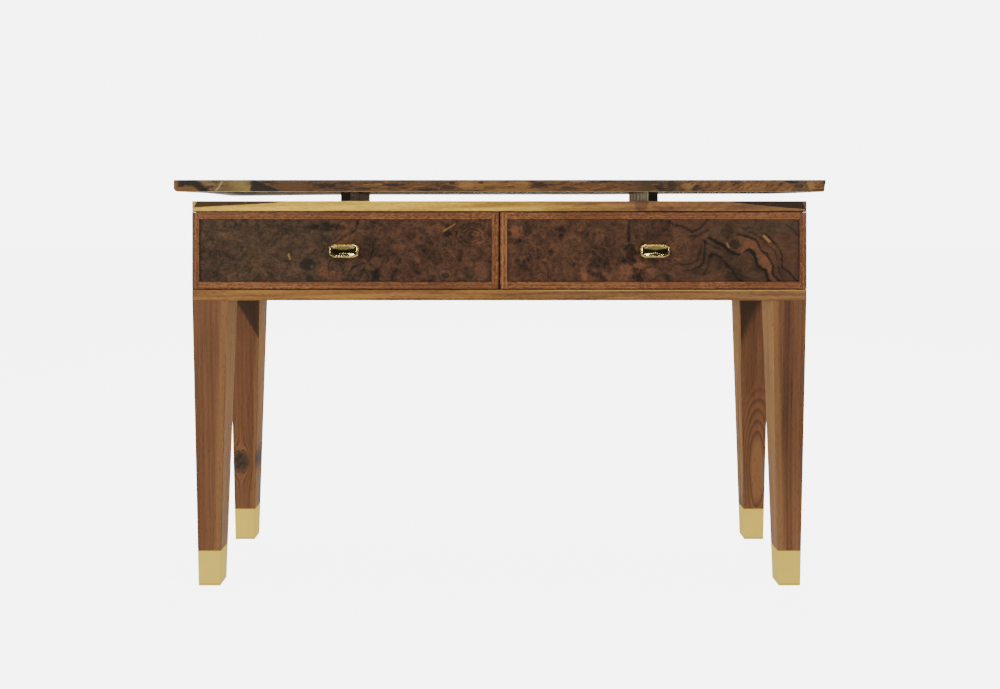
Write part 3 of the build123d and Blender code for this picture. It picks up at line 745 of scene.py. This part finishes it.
def slab_figure(finish, rough):
    """Torn streaks of the slab's edge, level on the left and rising on the right."""
    x, deep, high = finish.x, finish.y * 60, finish.z * 190
    level = finish.weave(x * 26 + finish.z * 30, deep, high - x * 14, 5.0, 0.68, 1.0)
    slanted = finish.weave(x * 46 + finish.z * 60, deep, high - x * 125, 5.0, 0.62, 0.6)
    rising = finish.fit(x + (rough - 0.5) * 0.08, 0.31, 0.34)
    return level * (1 - rising) + slanted * rising


def slab_edge(finish):
    """Colours of the slab's front edge, from its left end to its right end."""
    shaken = finish.drift(finish.place, 34.0, 0.016, 3.0)
    rough = finish.cloud(shaken, 60.0, 4.0)
    length = slab_high.x - slab_low.x
    zone_place = (finish.x - slab_low.x + (finish.z - slab_high.z) * 0.9 + (rough - 0.5) * 0.03) / length
    stops = []
    for x, (red, green, blue) in SLAB_ZONES:
        stops.append(((x * MM - slab_low.x) / length, (red, green * 0.94, blue * 0.74)))
    edge = finish.ramp(zone_place, stops)
    torn = slab_figure(finish, rough)
    clear = joined([finish.spot(x, 0.750, wide * MM, tall * MM, 0.1) for x, wide, tall in SLAB_CLEAR])
    edge = finish.mix((1 - finish.fit(torn, 0.36, 0.49)) * (0.88 - clear * 0.60), edge, SLAB_DARK)
    edge = finish.mix(finish.fit(torn, 0.54, 0.66) * (0.70 - clear * 0.60), edge, SLAB_GOLD)
    for places, tint in ((SLAB_FLECKS, SLAB_DARK), (SLAB_GLOWS, SLAB_GOLD)):
        for x, z, half_width, half_height, strength in places:
            fleck = finish.spot(x * MM, z * MM, half_width * MM, half_height * MM, 0.45, 110.0)
            edge = finish.mix(fleck * strength, edge, tint)
    band_places = [(-592, 758), (-578, 759), (-566, 757), (-556, 752), (-546, 746), (-538, 741)]
    band = Vein(finish, shaken, -20, band_places)
    edge = finish.mix(band.line(13 * MM) * 0.98, edge, (0.017, 0.012, 0.009))
    right_of = finish.x - (-0.452 + (slab_high.z - finish.z) * 2.3) + (rough - 0.5) * 0.02
    wedge = 1 - finish.fit(right_of, -2 * MM, 3 * MM)
    wedge = wedge * finish.fit(finish.x + (rough - 0.5) * 0.012, -0.461, -0.455)
    edge = finish.mix(wedge * 0.96, edge, (0.022, 0.015, 0.011))
    scratch = Vein(finish, finish.place, 50, [(-523, 742), (-517, 749), (-512, 758)])
    edge = finish.mix(scratch.line(3 * MM) * 0.6, edge, (0.420, 0.330, 0.140))
    top_line = finish.fit(finish.z, slab_high.z - 3.4 * MM, slab_high.z - 1.6 * MM)
    return finish.mix(top_line * finish.fit(finish.x, -0.45, -0.43) * 0.45, edge, (0.055, 0.022, 0.012))


def slab_finish():
    """Slab: figured front edge, plain figure on top, and an underside painted pale olive as painted light
    from below, paler to the left.
    """
    finish = Finish("slab_walnut", MATT)
    grain = Grain(finish, "X", 1.7, (0.95, 0.02), ring=9 * MM, sway=60 * MM)
    flat = finish.ramp(grain.figure(0.42, 0.40, 0.14) + (grain.tone - 0.5) * 0.4, SLAB_TONES)
    front = 1 - finish.fit(finish.y - slab_low.y + (grain.tone - 0.5) * 0.05, 4 * MM, 26 * MM)
    colour = finish.mix(front, flat, slab_edge(finish))
    # Painted light: the underside is painted a pale olive, far paler than walnut, for the light and
    # reflection it gets from below; paler to the left, beyond the case
    facing = finish.parts(finish.add("ShaderNodeTexCoord", output="Normal"))[2]
    bottom = 1 - finish.fit(facing, -0.85, -0.60)
    left = 1 - finish.fit(finish.x, -0.45, -0.25)
    olive = finish.mix(left, (0.500, 0.380, 0.200), (0.800, 0.640, 0.350))
    under = finish.mix(grain.figure(0.2, 0.5, 0.3) * 0.6, olive, (0.300, 0.220, 0.120))
    colour = finish.mix(bottom, colour, under)
    return walnut_finish(finish, grain, colour, 0.28 - bottom * 0.08)


def bar_finish(place, tones):
    """Blackened bar: all but its front end painted in pale streaked tones as the painted light on its inner
    side; its front end near black.
    """
    finish = Finish(f"bar_{place}", {"IOR": 1.46, "Specular IOR Level": 0.3})
    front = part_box(f"spacer_bar_{place}")[0].y
    grain = Grain(finish, "Y", 4.4, (0.2, 0.9), ring=3 * MM, sway=4 * MM)
    upright = finish.weave(finish.x * 40, finish.y * 90, finish.z * 12, 4.0, 0.65)
    mottle = finish.cloud(finish.place, 260.0, 4.0, 0.6)
    # Painted light: the bar takes the pale streaked tones of its lit inner side
    painted_side_light = finish.mix(finish.fit(upright + (mottle - 0.5) * 0.35, 0.38, 0.62), *tones)
    end = 1 - finish.fit(finish.y, front + 0.2 * MM, front + 1.2 * MM)
    colour = finish.mix(end, painted_side_light, (0.009, 0.007, 0.005))
    return walnut_finish(finish, grain, colour, 0.55)


def maple_finish():
    """Clear-finished maple of the drawer boxes and runners."""
    finish = Finish("box_maple", OILED)
    grain = Grain(finish, "Y", 6.1, (0.4, 0.4), ring=6 * MM, sway=16 * MM)
    tones = [(0.0, (0.62, 0.42, 0.20)), (0.5, (0.52, 0.34, 0.16)), (1.0, (0.40, 0.24, 0.11))]
    colour = finish.ramp(grain.figure(0.25, 0.35, 0.2), tones)
    return walnut_finish(finish, grain, colour, 0.45)


# ---------------------------------------------------------------- finishes of the metal
def ferrule_finish():
    """Satin brass with fine upright brushing, a hairline at its top and a worn foot."""
    finish = Finish("brass_satin", {"Metallic": 0.5, "IOR": 1.5, "Specular IOR Level": 0.25})
    brushed = finish.weave(finish.x * 1800, finish.y * 1800, finish.z * 30)
    patch = finish.cloud(finish.place, 45.0, 3.0)
    colour = finish.mix(patch, (1.000, 0.735, 0.128), (0.950, 0.675, 0.100))
    foot = 1 - finish.fit(abs(finish.z - 3 * MM + (brushed - 0.5) * 0.001), 0.5 * MM, 2.0 * MM)
    hairline = finish.fit(finish.z, ferrule_top - 1.2 * MM, ferrule_top - 0.2 * MM)
    colour = finish.mix(foot * 0.35 + hairline * 0.5, colour, (0.360, 0.210, 0.070))
    roughness = 0.42 + brushed * 0.10 + patch * 0.08
    return finish.done(colour, roughness, finish.wear(brushed, 0.03 * MM, 0.3))


def pull_finish(place):
    """Cast and polished brass: bright rim, a dish painted dark as a painted reflection, a rippled surface and
    handling marks.
    """
    finish = Finish(f"brass_polished_{place}", {"Metallic": 1.0, "IOR": 1.5})
    low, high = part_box(f"pull_{place}")
    middle = (low + high) / 2
    reach = finish.reach(finish.place, middle.x, middle.z, 25 * MM, 10.2 * MM)
    ripple = finish.cloud(finish.drift(finish.place, 260.0, 0.003, 2.0), 300.0, 2.0, 0.5)
    smear = finish.cloud(finish.place, 160.0, 3.0, 0.6)
    scuff = finish.fit(finish.weave(finish.x * 900, finish.y * 200, finish.z * 2600, 1.0), 0.62, 0.72)
    colour = finish.mix(smear, (0.780, 0.610, 0.230), (0.560, 0.430, 0.150))
    # Painted reflection: the dish is painted dark brass, for the dark room it mirrors
    forward = finish.fit(high.y - finish.y, 20 * MM, 21 * MM)
    dish = (1 - finish.fit(reach + (ripple - 0.5) * 0.25, 0.80, 0.98)) * forward
    colour = finish.mix(dish * (0.70 + ripple * 0.35), colour, (0.190, 0.150, 0.052))
    colour = finish.mix((1 - finish.fit(ripple, 0.34, 0.48)) * 0.5, colour, (0.120, 0.090, 0.030))
    roughness = 0.05 + smear * 0.07 + scuff * 0.08
    return finish.done(colour, roughness, finish.wear(ripple, 0.35 * MM, 0.8))


def steel_finish():
    """Zinc-plated screws and bolts."""
    finish = Finish("steel_plated", {"Metallic": 0.9})
    patch = finish.cloud(finish.place, 220.0, 3.0)
    colour = finish.mix(patch, (0.50, 0.49, 0.46), (0.36, 0.35, 0.33))
    return finish.done(colour, 0.30 + patch * 0.2, finish.wear(patch, 0.05 * MM, 0.4))


# ---------------------------------------------------------------- meshes
def mesh_piece(name, points, faces, material, smooth=True):
    """New piece from points and faces."""
    mesh = bpy.data.meshes.new(name)
    mesh.from_pydata(points, [], faces)
    mesh.materials.append(material)
    mesh.validate()
    mesh.update()
    for face in mesh.polygons:
        face.use_smooth = smooth
    piece = bpy.data.objects.new(name, mesh)
    bpy.context.scene.collection.objects.link(piece)
    return piece


def hull_faces(rings, count):
    """Faces between closed rings of equal count, each end closed by one face."""
    faces = []
    for ring in range(rings - 1):
        for step in range(count):
            after = (step + 1) % count
            low, high = ring * count, (ring + 1) * count
            faces.append((low + step, low + after, high + after, high + step))
    faces.append(tuple(range(count - 1, -1, -1)))
    last = (rings - 1) * count
    faces.append(tuple(range(last, last + count)))
    return faces


# The pull: a long octagon, swept forward through its neck, flare, rim, bevel and dish
PULL_WIDTH = 54 * MM
PULL_HEIGHT = 25.5 * MM
PULL_RUN = 8.5 * MM
PULL_RISE = 4.2 * MM
CORNER_STEPS = 4


def octagon_ring(middle, width, height, run, rise, round_off):
    """Points of an octagon with rounded corners, in a plane across Y."""
    half_width, half_height = width / 2, height / 2
    corners = [
        (half_width - run, -half_height), (half_width, -half_height + rise),
        (half_width, half_height - rise), (half_width - run, half_height),
    ]
    corners += [(-x, -z) for x, z in corners]
    points = []
    for index, (x, z) in enumerate(corners):
        here = Vector((x, z))
        before = Vector(corners[index - 1]) - here
        after = Vector(corners[(index + 1) % 8]) - here
        start = here + before.normalized() * min(round_off, before.length * 0.4)
        stop = here + after.normalized() * min(round_off, after.length * 0.4)
        for step in range(CORNER_STEPS + 1):
            t = step / CORNER_STEPS
            bend = start * (1 - t) ** 2 + here * (2 * t * (1 - t)) + stop * t ** 2
            points.append((middle.x + bend.x, middle.y, middle.z + bend.y))
    return points


def pull_profile():
    """Width, height and distance forward of each ring of the pull."""
    rim = 3 * MM
    profile = [
        (40.0, 12.0, 0.0), (39.4, 11.4, 0.8), (39.4, 11.4, 8.0), (39.8, 11.8, 11.0), (41.2, 13.2, 13.2),
        (47.5, 19.2, 16.0), (52.6, 24.0, 17.8), (53.6, 25.1, 18.3), (54.0, 25.5, 19.0), (54.0, 25.5, 20.6),
        (53.7, 25.2, 21.2), (53.0, 24.5, 21.8), (49.6, 21.1, 23.5), (48.8, 20.3, 23.9), (48.0, 19.5, 24.0),
    ]
    rings = [(width * MM, height * MM, forward * MM) for width, height, forward in profile]
    dish_steps = 7
    for step in range(1, dish_steps):
        share = 1 - step / dish_steps
        drop = 2.3 * MM * (1 - share ** 2)
        rings.append(((48.0 * MM - rim * 0.4) * share, 19.0 * MM * share, 24.0 * MM - drop))
    return rings


def make_pull(place, material):
    """Brass pull that stands for the drawer's CAD pull."""
    node = f"pull_{place}"
    low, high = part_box(node)
    middle = (low + high) / 2
    rings = pull_profile()
    points = []
    for width, height, forward in rings:
        share = min(1.0, width / PULL_WIDTH, height / PULL_HEIGHT * 1.25)
        centre = Vector((middle.x, high.y - forward, middle.z))
        tall = min(share, height / PULL_HEIGHT)
        points += octagon_ring(centre, width, height, PULL_RUN * share, PULL_RISE * tall, 1.6 * MM * share)
    count = 8 * (CORNER_STEPS + 1)
    piece = mesh_piece(f"brass_pull_{place}", points, hull_faces(len(rings), count), material)
    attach(piece, f"drawer_{place}")
    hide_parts(node)


# The slab: stations along X, each a rounded outline across Y and Z
LEFT_TOP_ROUND = 3 * MM
LEFT_BOTTOM_ROUND = 9 * MM
RIGHT_ROUND = 1.2 * MM
UNDERCUT = 3 * MM
# How far the underside's back edge hangs, at places along X
HANGS = [(-0.61, 3.4), (-0.55, 3.2), (-0.45, 2.0), (-0.33, 0.9), (0.20, 0.6), (0.38, -0.9), (0.61, -1.2)]


def soft_noise(x, y, scale):
    """Gentle unevenness from -1 to 1."""
    return noise.noise(Vector((x * scale, y * scale, 0.37)))


def along(table, x):
    """Value at x in a table of (place, value) pairs."""
    for (x0, v0), (x1, v1) in zip(table, table[1:]):
        if x <= x1:
            return v0 + (v1 - v0) * max(0.0, (x - x0) / (x1 - x0))
    return table[-1][1]


def round_drop(distance, radius):
    """How far a rounded corner has fallen away, at a distance from its end."""
    if distance >= radius:
        return 0.0
    return radius - math.sqrt(radius ** 2 - (radius - distance) ** 2)


def slab_stations():
    """Places along the slab, close together at its rounded ends."""
    left = [LEFT_BOTTOM_ROUND * (step / 12) ** 2 for step in range(13)]
    length = slab_high.x - slab_low.x
    right = [length - RIGHT_ROUND * (step / 4) ** 2 for step in range(4, -1, -1)]
    spacing = 4 * MM
    count = int((right[0] - left[-1]) / spacing)
    middle = [left[-1] + (right[0] - left[-1]) * step / count for step in range(1, count)]
    return [slab_low.x + place for place in left + middle + right]


def slab_outline():
    """Outline of the slab's section as (across, up), with rounded corners, centred on 0."""
    half_depth = (slab_high.y - slab_low.y) / 2
    half_thick = (slab_high.z - slab_low.z) / 2
    corner = 2.2 * MM
    signs = [(-1, -1), (1, -1), (1, 1), (-1, 1)]
    points = []
    for index, (across, up) in enumerate(signs):
        centre = Vector((across * (half_depth - corner), up * (half_thick - corner)))
        for step in range(6):
            angle = math.radians(180 + index * 90 + step * 18)
            points.append(centre + Vector((math.cos(angle), math.sin(angle))) * corner)
        next_across, next_up = signs[(index + 1) % 4]
        turned = math.radians(180 + (index + 1) * 90)
        target = Vector((next_across * (half_depth - corner), next_up * (half_thick - corner)))
        stop = target + Vector((math.cos(turned), math.sin(turned))) * corner
        last = points[-1].copy()
        between = 14 if next_up == up else 5
        points += [last.lerp(stop, step / (between + 1)) for step in range(1, between + 1)]
    return points


def slab_point(x, across, up):
    """Place of one point of the slab, given its station and its place on the outline."""
    half_depth = (slab_high.y - slab_low.y) / 2
    half_thick = (slab_high.z - slab_low.z) / 2
    from_left = x - slab_low.x
    from_right = slab_high.x - x
    side = math.copysign(1, across)
    outer = min(1.0, abs(across) / half_depth) ** 6
    wander = soft_noise(x, 4.0 * side, 6.0) * 0.7 + soft_noise(x, 9.0 * side, 21.0) * 0.3 + 1
    inward = wander * (1.3 * MM if side < 0 else 3.5 * MM)
    inward += round_drop(from_left, 5 * MM) + round_drop(from_right, RIGHT_ROUND)
    hewn = soft_noise(x * 2, up * 40 + side * 9, 60.0) * 0.35 * MM if outer > 0.9 else 0.0
    y = across - side * (inward * outer + hewn + 0.35 * MM)
    drop = round_drop(from_left, LEFT_TOP_ROUND if up > 0 else LEFT_BOTTOM_ROUND)
    z = up - math.copysign(1, up) * (drop + round_drop(from_right, RIGHT_ROUND)) * abs(up) / half_thick
    if up < 0:
        z -= along(HANGS, x) * MM * max(0.0, across / half_depth) * abs(up) / half_thick
    cut = UNDERCUT * (half_thick - up) / (2 * half_thick) * max(0.0, 1 - from_right / 0.03)
    return (x - cut, y, (slab_low.z + slab_high.z) / 2 + z)


def make_slab(material):
    """Live-edged slab that stands for the plain CAD board."""
    outline = slab_outline()
    stations = slab_stations()
    points = [slab_point(x, across, up) for x in stations for across, up in outline]
    piece = mesh_piece("live_edge_slab", points, hull_faces(len(stations), len(outline)), material)
    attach(piece, "table")
    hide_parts("top_slab")


# Painted shade: thin near-black strips set in the gaps round the drawers, to darken the gap lines and close
# them
GAP_SHADE_SETBACK = 0.4 * MM
GAP_SHADE_DEPTH = 15 * MM
GAP_SHADE_THICK = 1.7 * MM


def gap_shade_finish():
    """Near-black painted shade for the gaps, with a fuzzy bump."""
    finish = Finish("painted_gap_shade", {"Specular IOR Level": 0.1})
    fuzz = finish.cloud(finish.place, 2600.0, 3.0, 0.7)
    colour = finish.mix(fuzz, (0.006, 0.005, 0.004), (0.014, 0.011, 0.009))
    return finish.done(colour, 0.9 + fuzz * 0.1, finish.wear(fuzz, 0.2 * MM, 0.8))


def gap_shade_strip(name, low, high, material):
    """Strip whose long edges are rounded, from its lowest to its highest corner."""
    bevel = min(high.x - low.x, high.z - low.z) * 0.25
    rings = []
    for y, inset in ((low.y, bevel), (low.y + bevel, 0.0), (high.y - bevel, 0.0), (high.y, bevel)):
        left, right, bottom, top = low.x + inset, high.x - inset, low.z + inset, high.z - inset
        rings += [
            (left + bevel, y, bottom), (right - bevel, y, bottom),
            (right, y, bottom + bevel), (right, y, top - bevel),
            (right - bevel, y, top), (left + bevel, y, top),
            (left, y, top - bevel), (left, y, bottom + bevel),
        ]
    piece = mesh_piece(name, rings, hull_faces(4, 8), material, False)
    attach(piece, "table")


def make_gap_shades(material):
    """Strips of painted shade under the top board, on the bottom board and on the divider's front."""
    front = case_front + GAP_SHADE_SETBACK
    back = front + GAP_SHADE_DEPTH
    end = case_end - 0.2 * MM
    ceiling, bay_floor = board_low.z, base_high.z
    upper, lower = ceiling - GAP_SHADE_THICK, bay_floor + GAP_SHADE_THICK
    gap_shade_strip("gap_shade_top", Vector((-end, front, upper)), Vector((end, back, ceiling)), material)
    gap_shade_strip("gap_shade_bottom", Vector((-end, front, bay_floor)), Vector((end, back, lower)), material)
    divider_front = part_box("centre_divider")[0].y
    half_gap = 1.2 * MM
    low, high = Vector((-half_gap, front, lower)), Vector((half_gap, divider_front, upper))
    gap_shade_strip("gap_shade_centre", low, high, material)


# ---------------------------------------------------------------- dress the CAD nodes
def dress(node, material):
    """Give a CAD node its finish."""
    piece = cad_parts[node]
    piece.data.materials.clear()
    piece.data.materials.append(material)


# On the back legs, corner paints the case's shadow on the leg's top
legs = {
    "front_left": leg_finish(
        "leg_front_left_wood", -1, 2.3, (-0.72, -0.02), band=(-0.566, 12 * MM, 0.12), gold=9 * MM,
        shade=0.06,
    ),
    "front_right": leg_finish(
        "leg_front_right_wood", 1, 5.9, (0.80, -0.10), band=(0.541, 13 * MM, 0.36), gold=9 * MM,
        foot_pale=0.30, shade=0.12,
    ),
    "back_left": leg_finish(
        "leg_back_left_wood", -1, 7.7, (-0.75, 0.16), corner=(-0.560, 0.508, -1.7, 10 * MM),
        foot_pale=0.06, shade=0.12,
        knots=[(-0.553, 0.168, 15 * MM, 18 * MM), (-0.5145, 0.170, 6 * MM, 22 * MM)],
    ),
    "back_right": leg_finish(
        "leg_back_right_wood", 1, 9.2, (0.535, 0.05), arch=(0.552, 0.152, 14 * MM, 60 * MM),
        corner=(0.515, 0.400, 2.1, 50 * MM), gold=None, foot_pale=0.24, shade=0.14,
    ),
}
brass = ferrule_finish()
for place, material in legs.items():
    dress(f"leg_{place}", material)
    dress(f"ferrule_{place}", brass)

# Painted shadows of the slab's ends on the top board: side, length and thickness
slab_shadows = [(-1, 0.177, 12.5 * MM), (1, 0.150, 15 * MM)]
dress("top_board", board_finish("top_board_wood", board_low, 1.3, -0.12, 0.30, slab_shadows, smudge=True))
# rim paints a highlight along the bottom board's top arris
bottom_wood = board_finish("bottom_board_wood", base_low, 5.1, 0.02, 0.34, [], OCHRE_TONES, rim=True)
dress("bottom_board", bottom_wood)
rail_wood = frame_finish("frame_rails", "X", 3.3, (0.9, -0.2))
stiles = {
    "stile_outer_left": frame_finish("stile_outer_left_wood", "Z", 2.1, (-0.4, -0.3), 0.16),
    "stile_inner_left": frame_finish("stile_inner_left_wood", "Z", 4.6, (-0.2, -0.3), 0.06),
    "stile_inner_right": frame_finish("stile_inner_right_wood", "Z", 7.8, (0.2, -0.3), -0.10, 0.6),
    "stile_outer_right": frame_finish("stile_outer_right_wood", "Z", 9.9, (0.4, -0.3), 0.08),
}
for node, material in stiles.items():
    dress(node, material)

case_wood = plain_walnut("case_ends", "Y", 6.6)
back_wood = plain_walnut("case_back", "X", 8.1, (1.1, 0.1))
dress("back_panel", back_wood)
dress("centre_divider", case_wood)
maple = maple_finish()
steel = steel_finish()
# Painted light: the right bar is painted far brighter than the left, as the light on its inner side
bars = {
    "left": bar_finish("left", ((0.265, 0.212, 0.130), (0.105, 0.084, 0.056))),
    "right": bar_finish("right", ((0.740, 0.620, 0.370), (0.250, 0.205, 0.130))),
}
burls = {"left": left_burl(), "right": right_burl()}
for place in SIDES:
    dress(f"top_rail_{place}", rail_wood)
    dress(f"bottom_rail_{place}", rail_wood)
    dress(f"side_panel_{place}", case_wood)
    dress(f"spacer_bar_{place}", bars[place])
    dress(f"burl_panel_{place}", burls[place])
    for part in ("box_front", "box_back", "box_side_outer", "box_side_inner", "box_floor", "box_pins"):
        dress(f"{part}_{place}", maple)
    for part in ("side_runner", "divider_runner"):
        dress(f"{part}_{place}", maple)
    for part in ("front_screws", "pull_screws"):
        dress(f"{part}_{place}", steel)
    make_pull(place, pull_finish(place))
dress("case_dowels", maple)
for node in ("slab_screws", "back_screws", "runner_screws", "leg_bolts", "leg_washers", "leg_inserts"):
    dress(node, steel)
make_slab(slab_finish())
make_gap_shades(gap_shade_finish())


# ---------------------------------------------------------------- studio
CAMERA_BACK = 1.697
CAMERA_HEIGHT = 0.710
BACKDROP_GLOW = 6.5
FLOOR_LIGHT = 2.0
# The dome from straight below, where the floor sends light back, to straight above
DOME_SHADES = [(0.0, (0.50, 0.49, 0.46)), (0.5, (0.48, 0.47, 0.45)), (1.0, (0.80, 0.80, 0.80))]


def make_floor():
    """Pale floor that glows a little, so that it meets the backdrop without a line."""
    size = 14.0
    corners = [(-size, -size, 0), (size, -size, 0), (size, size, 0), (-size, size, 0)]
    finish = Finish("floor_paper", {"Emission Strength": 5.95})
    grit = finish.cloud(finish.place, 300.0, 2.0)
    colour = finish.mix(grit, (0.34, 0.34, 0.34), (0.32, 0.32, 0.32))
    finish.shader.inputs["Emission Color"].default_value = (1.0, 1.0, 1.0, 1.0)
    material = finish.done(colour, 0.8 + grit * 0.1, finish.wear(grit, 0.1 * MM, 0.1))
    floor = mesh_piece("studio_floor", corners, [(0, 1, 2, 3)], material, False)
    floor.visible_diffuse = False
    floor.visible_glossy = False


def make_sky():
    """Even white backdrop for the camera, and a softer dome that lights the table."""
    world = bpy.data.worlds.new("studio_dome")
    world.use_nodes = True
    bpy.context.scene.world = world
    world.node_tree.nodes.clear()
    sky = Bench(world.node_tree)
    _, y, z = sky.parts(sky.add("ShaderNodeTexCoord", output="Generated"))
    height = sky.add("ShaderNodeMapRange", None, {"Value": z, "From Min": -1.0})
    facing_places = {"From Min": -0.95, "From Max": 0.0, "To Min": 0.12}
    facing = sky.add("ShaderNodeMapRange", None, {"Value": y} | facing_places)
    below_places = {"From Min": -0.14, "From Max": -0.34, "To Max": FLOOR_LIGHT}
    below = sky.add("ShaderNodeMapRange", None, {"Value": z} | below_places)
    dome_look = {"Color": sky.ramp(height, DOME_SHADES), "Strength": facing.most(below)}
    dome = sky.add("ShaderNodeBackground", None, dome_look)
    backdrop_look = {"Color": (1.0, 1.0, 1.0, 1.0), "Strength": BACKDROP_GLOW}
    backdrop = sky.add("ShaderNodeBackground", None, backdrop_look)
    seen = sky.add("ShaderNodeLightPath", output="Is Camera Ray")
    both = sky.add("ShaderNodeMixShader", None, {0: seen, 1: dome, 2: backdrop})
    output = sky.tree.nodes.new("ShaderNodeOutputWorld")
    sky.tree.links.new(both.socket, output.inputs["Surface"])


# The lamps: name, place, target, width, height and power, then a colour where it isn't white
LAMPS = [
    ("key_box", (-1.5, -3.4, 1.95), (0.0, 0.0, 0.55), 0.8, 0.6, 32),
    ("fill_box", (1.5, -3.4, 1.95), (0.0, 0.0, 0.55), 0.8, 0.6, 24),
    ("left_spark", (-1.2, -3.3, 1.95), (-0.3, 0.0, 0.63), 0.08, 0.08, 3),
    ("centre_spark", (0.2, -3.3, 1.95), (0.0, 0.0, 0.63), 0.08, 0.08, 3),
    ("left_strip", (-3.1, -1.8, 0.72), (0.3, 0.0, 0.72), 1.2, 0.25, 62),
    ("right_strip", (3.1, -1.8, 0.72), (-0.3, 0.0, 0.72), 1.2, 0.25, 42),
    ("top_box", (0.0, 0.2, 3.2), (0.0, 0.0, 0.7), 2.4, 1.4, 70),
    ("back_box", (0.6, 3.2, 1.8), (0.0, 0.0, 0.5), 1.8, 1.2, 70),
    ("gap_glow", (0.0, 3.0, 0.62), (0.0, 0.0, 0.72), 2.6, 0.3, 1.4, (1.0, 0.72, 0.30)),
]


def make_lamp(name, place, target, width, height, power, colour=(1.0, 1.0, 1.0)):
    """Soft box that points at a target."""
    lamp = bpy.data.lights.new(name, "AREA")
    lamp.color = colour
    lamp.shape = "RECTANGLE"
    lamp.size = width
    lamp.size_y = height
    lamp.energy = power
    stand = bpy.data.objects.new(name, lamp)
    stand.location = place
    stand.rotation_euler = (Vector(target) - Vector(place)).to_track_quat("-Z", "Y").to_euler()
    bpy.context.scene.collection.objects.link(stand)


def make_camera():
    """Level camera in front of the table, just under the height of the slab."""
    lens = bpy.data.cameras.new("camera")
    lens.sensor_width = 36.0
    lens.lens = 32.66
    lens.shift_x = 0.0006
    lens.shift_y = -0.1365
    lens.clip_end = 60.0
    camera = bpy.data.objects.new("camera", lens)
    camera.location = (0.0, case_front - CAMERA_BACK, CAMERA_HEIGHT)
    camera.rotation_euler = (math.radians(90), 0.0, 0.0)
    bpy.context.scene.collection.objects.link(camera)
    bpy.context.scene.camera = camera


make_floor()
make_sky()
for lamp_row in LAMPS:
    make_lamp(*lamp_row)
make_camera()
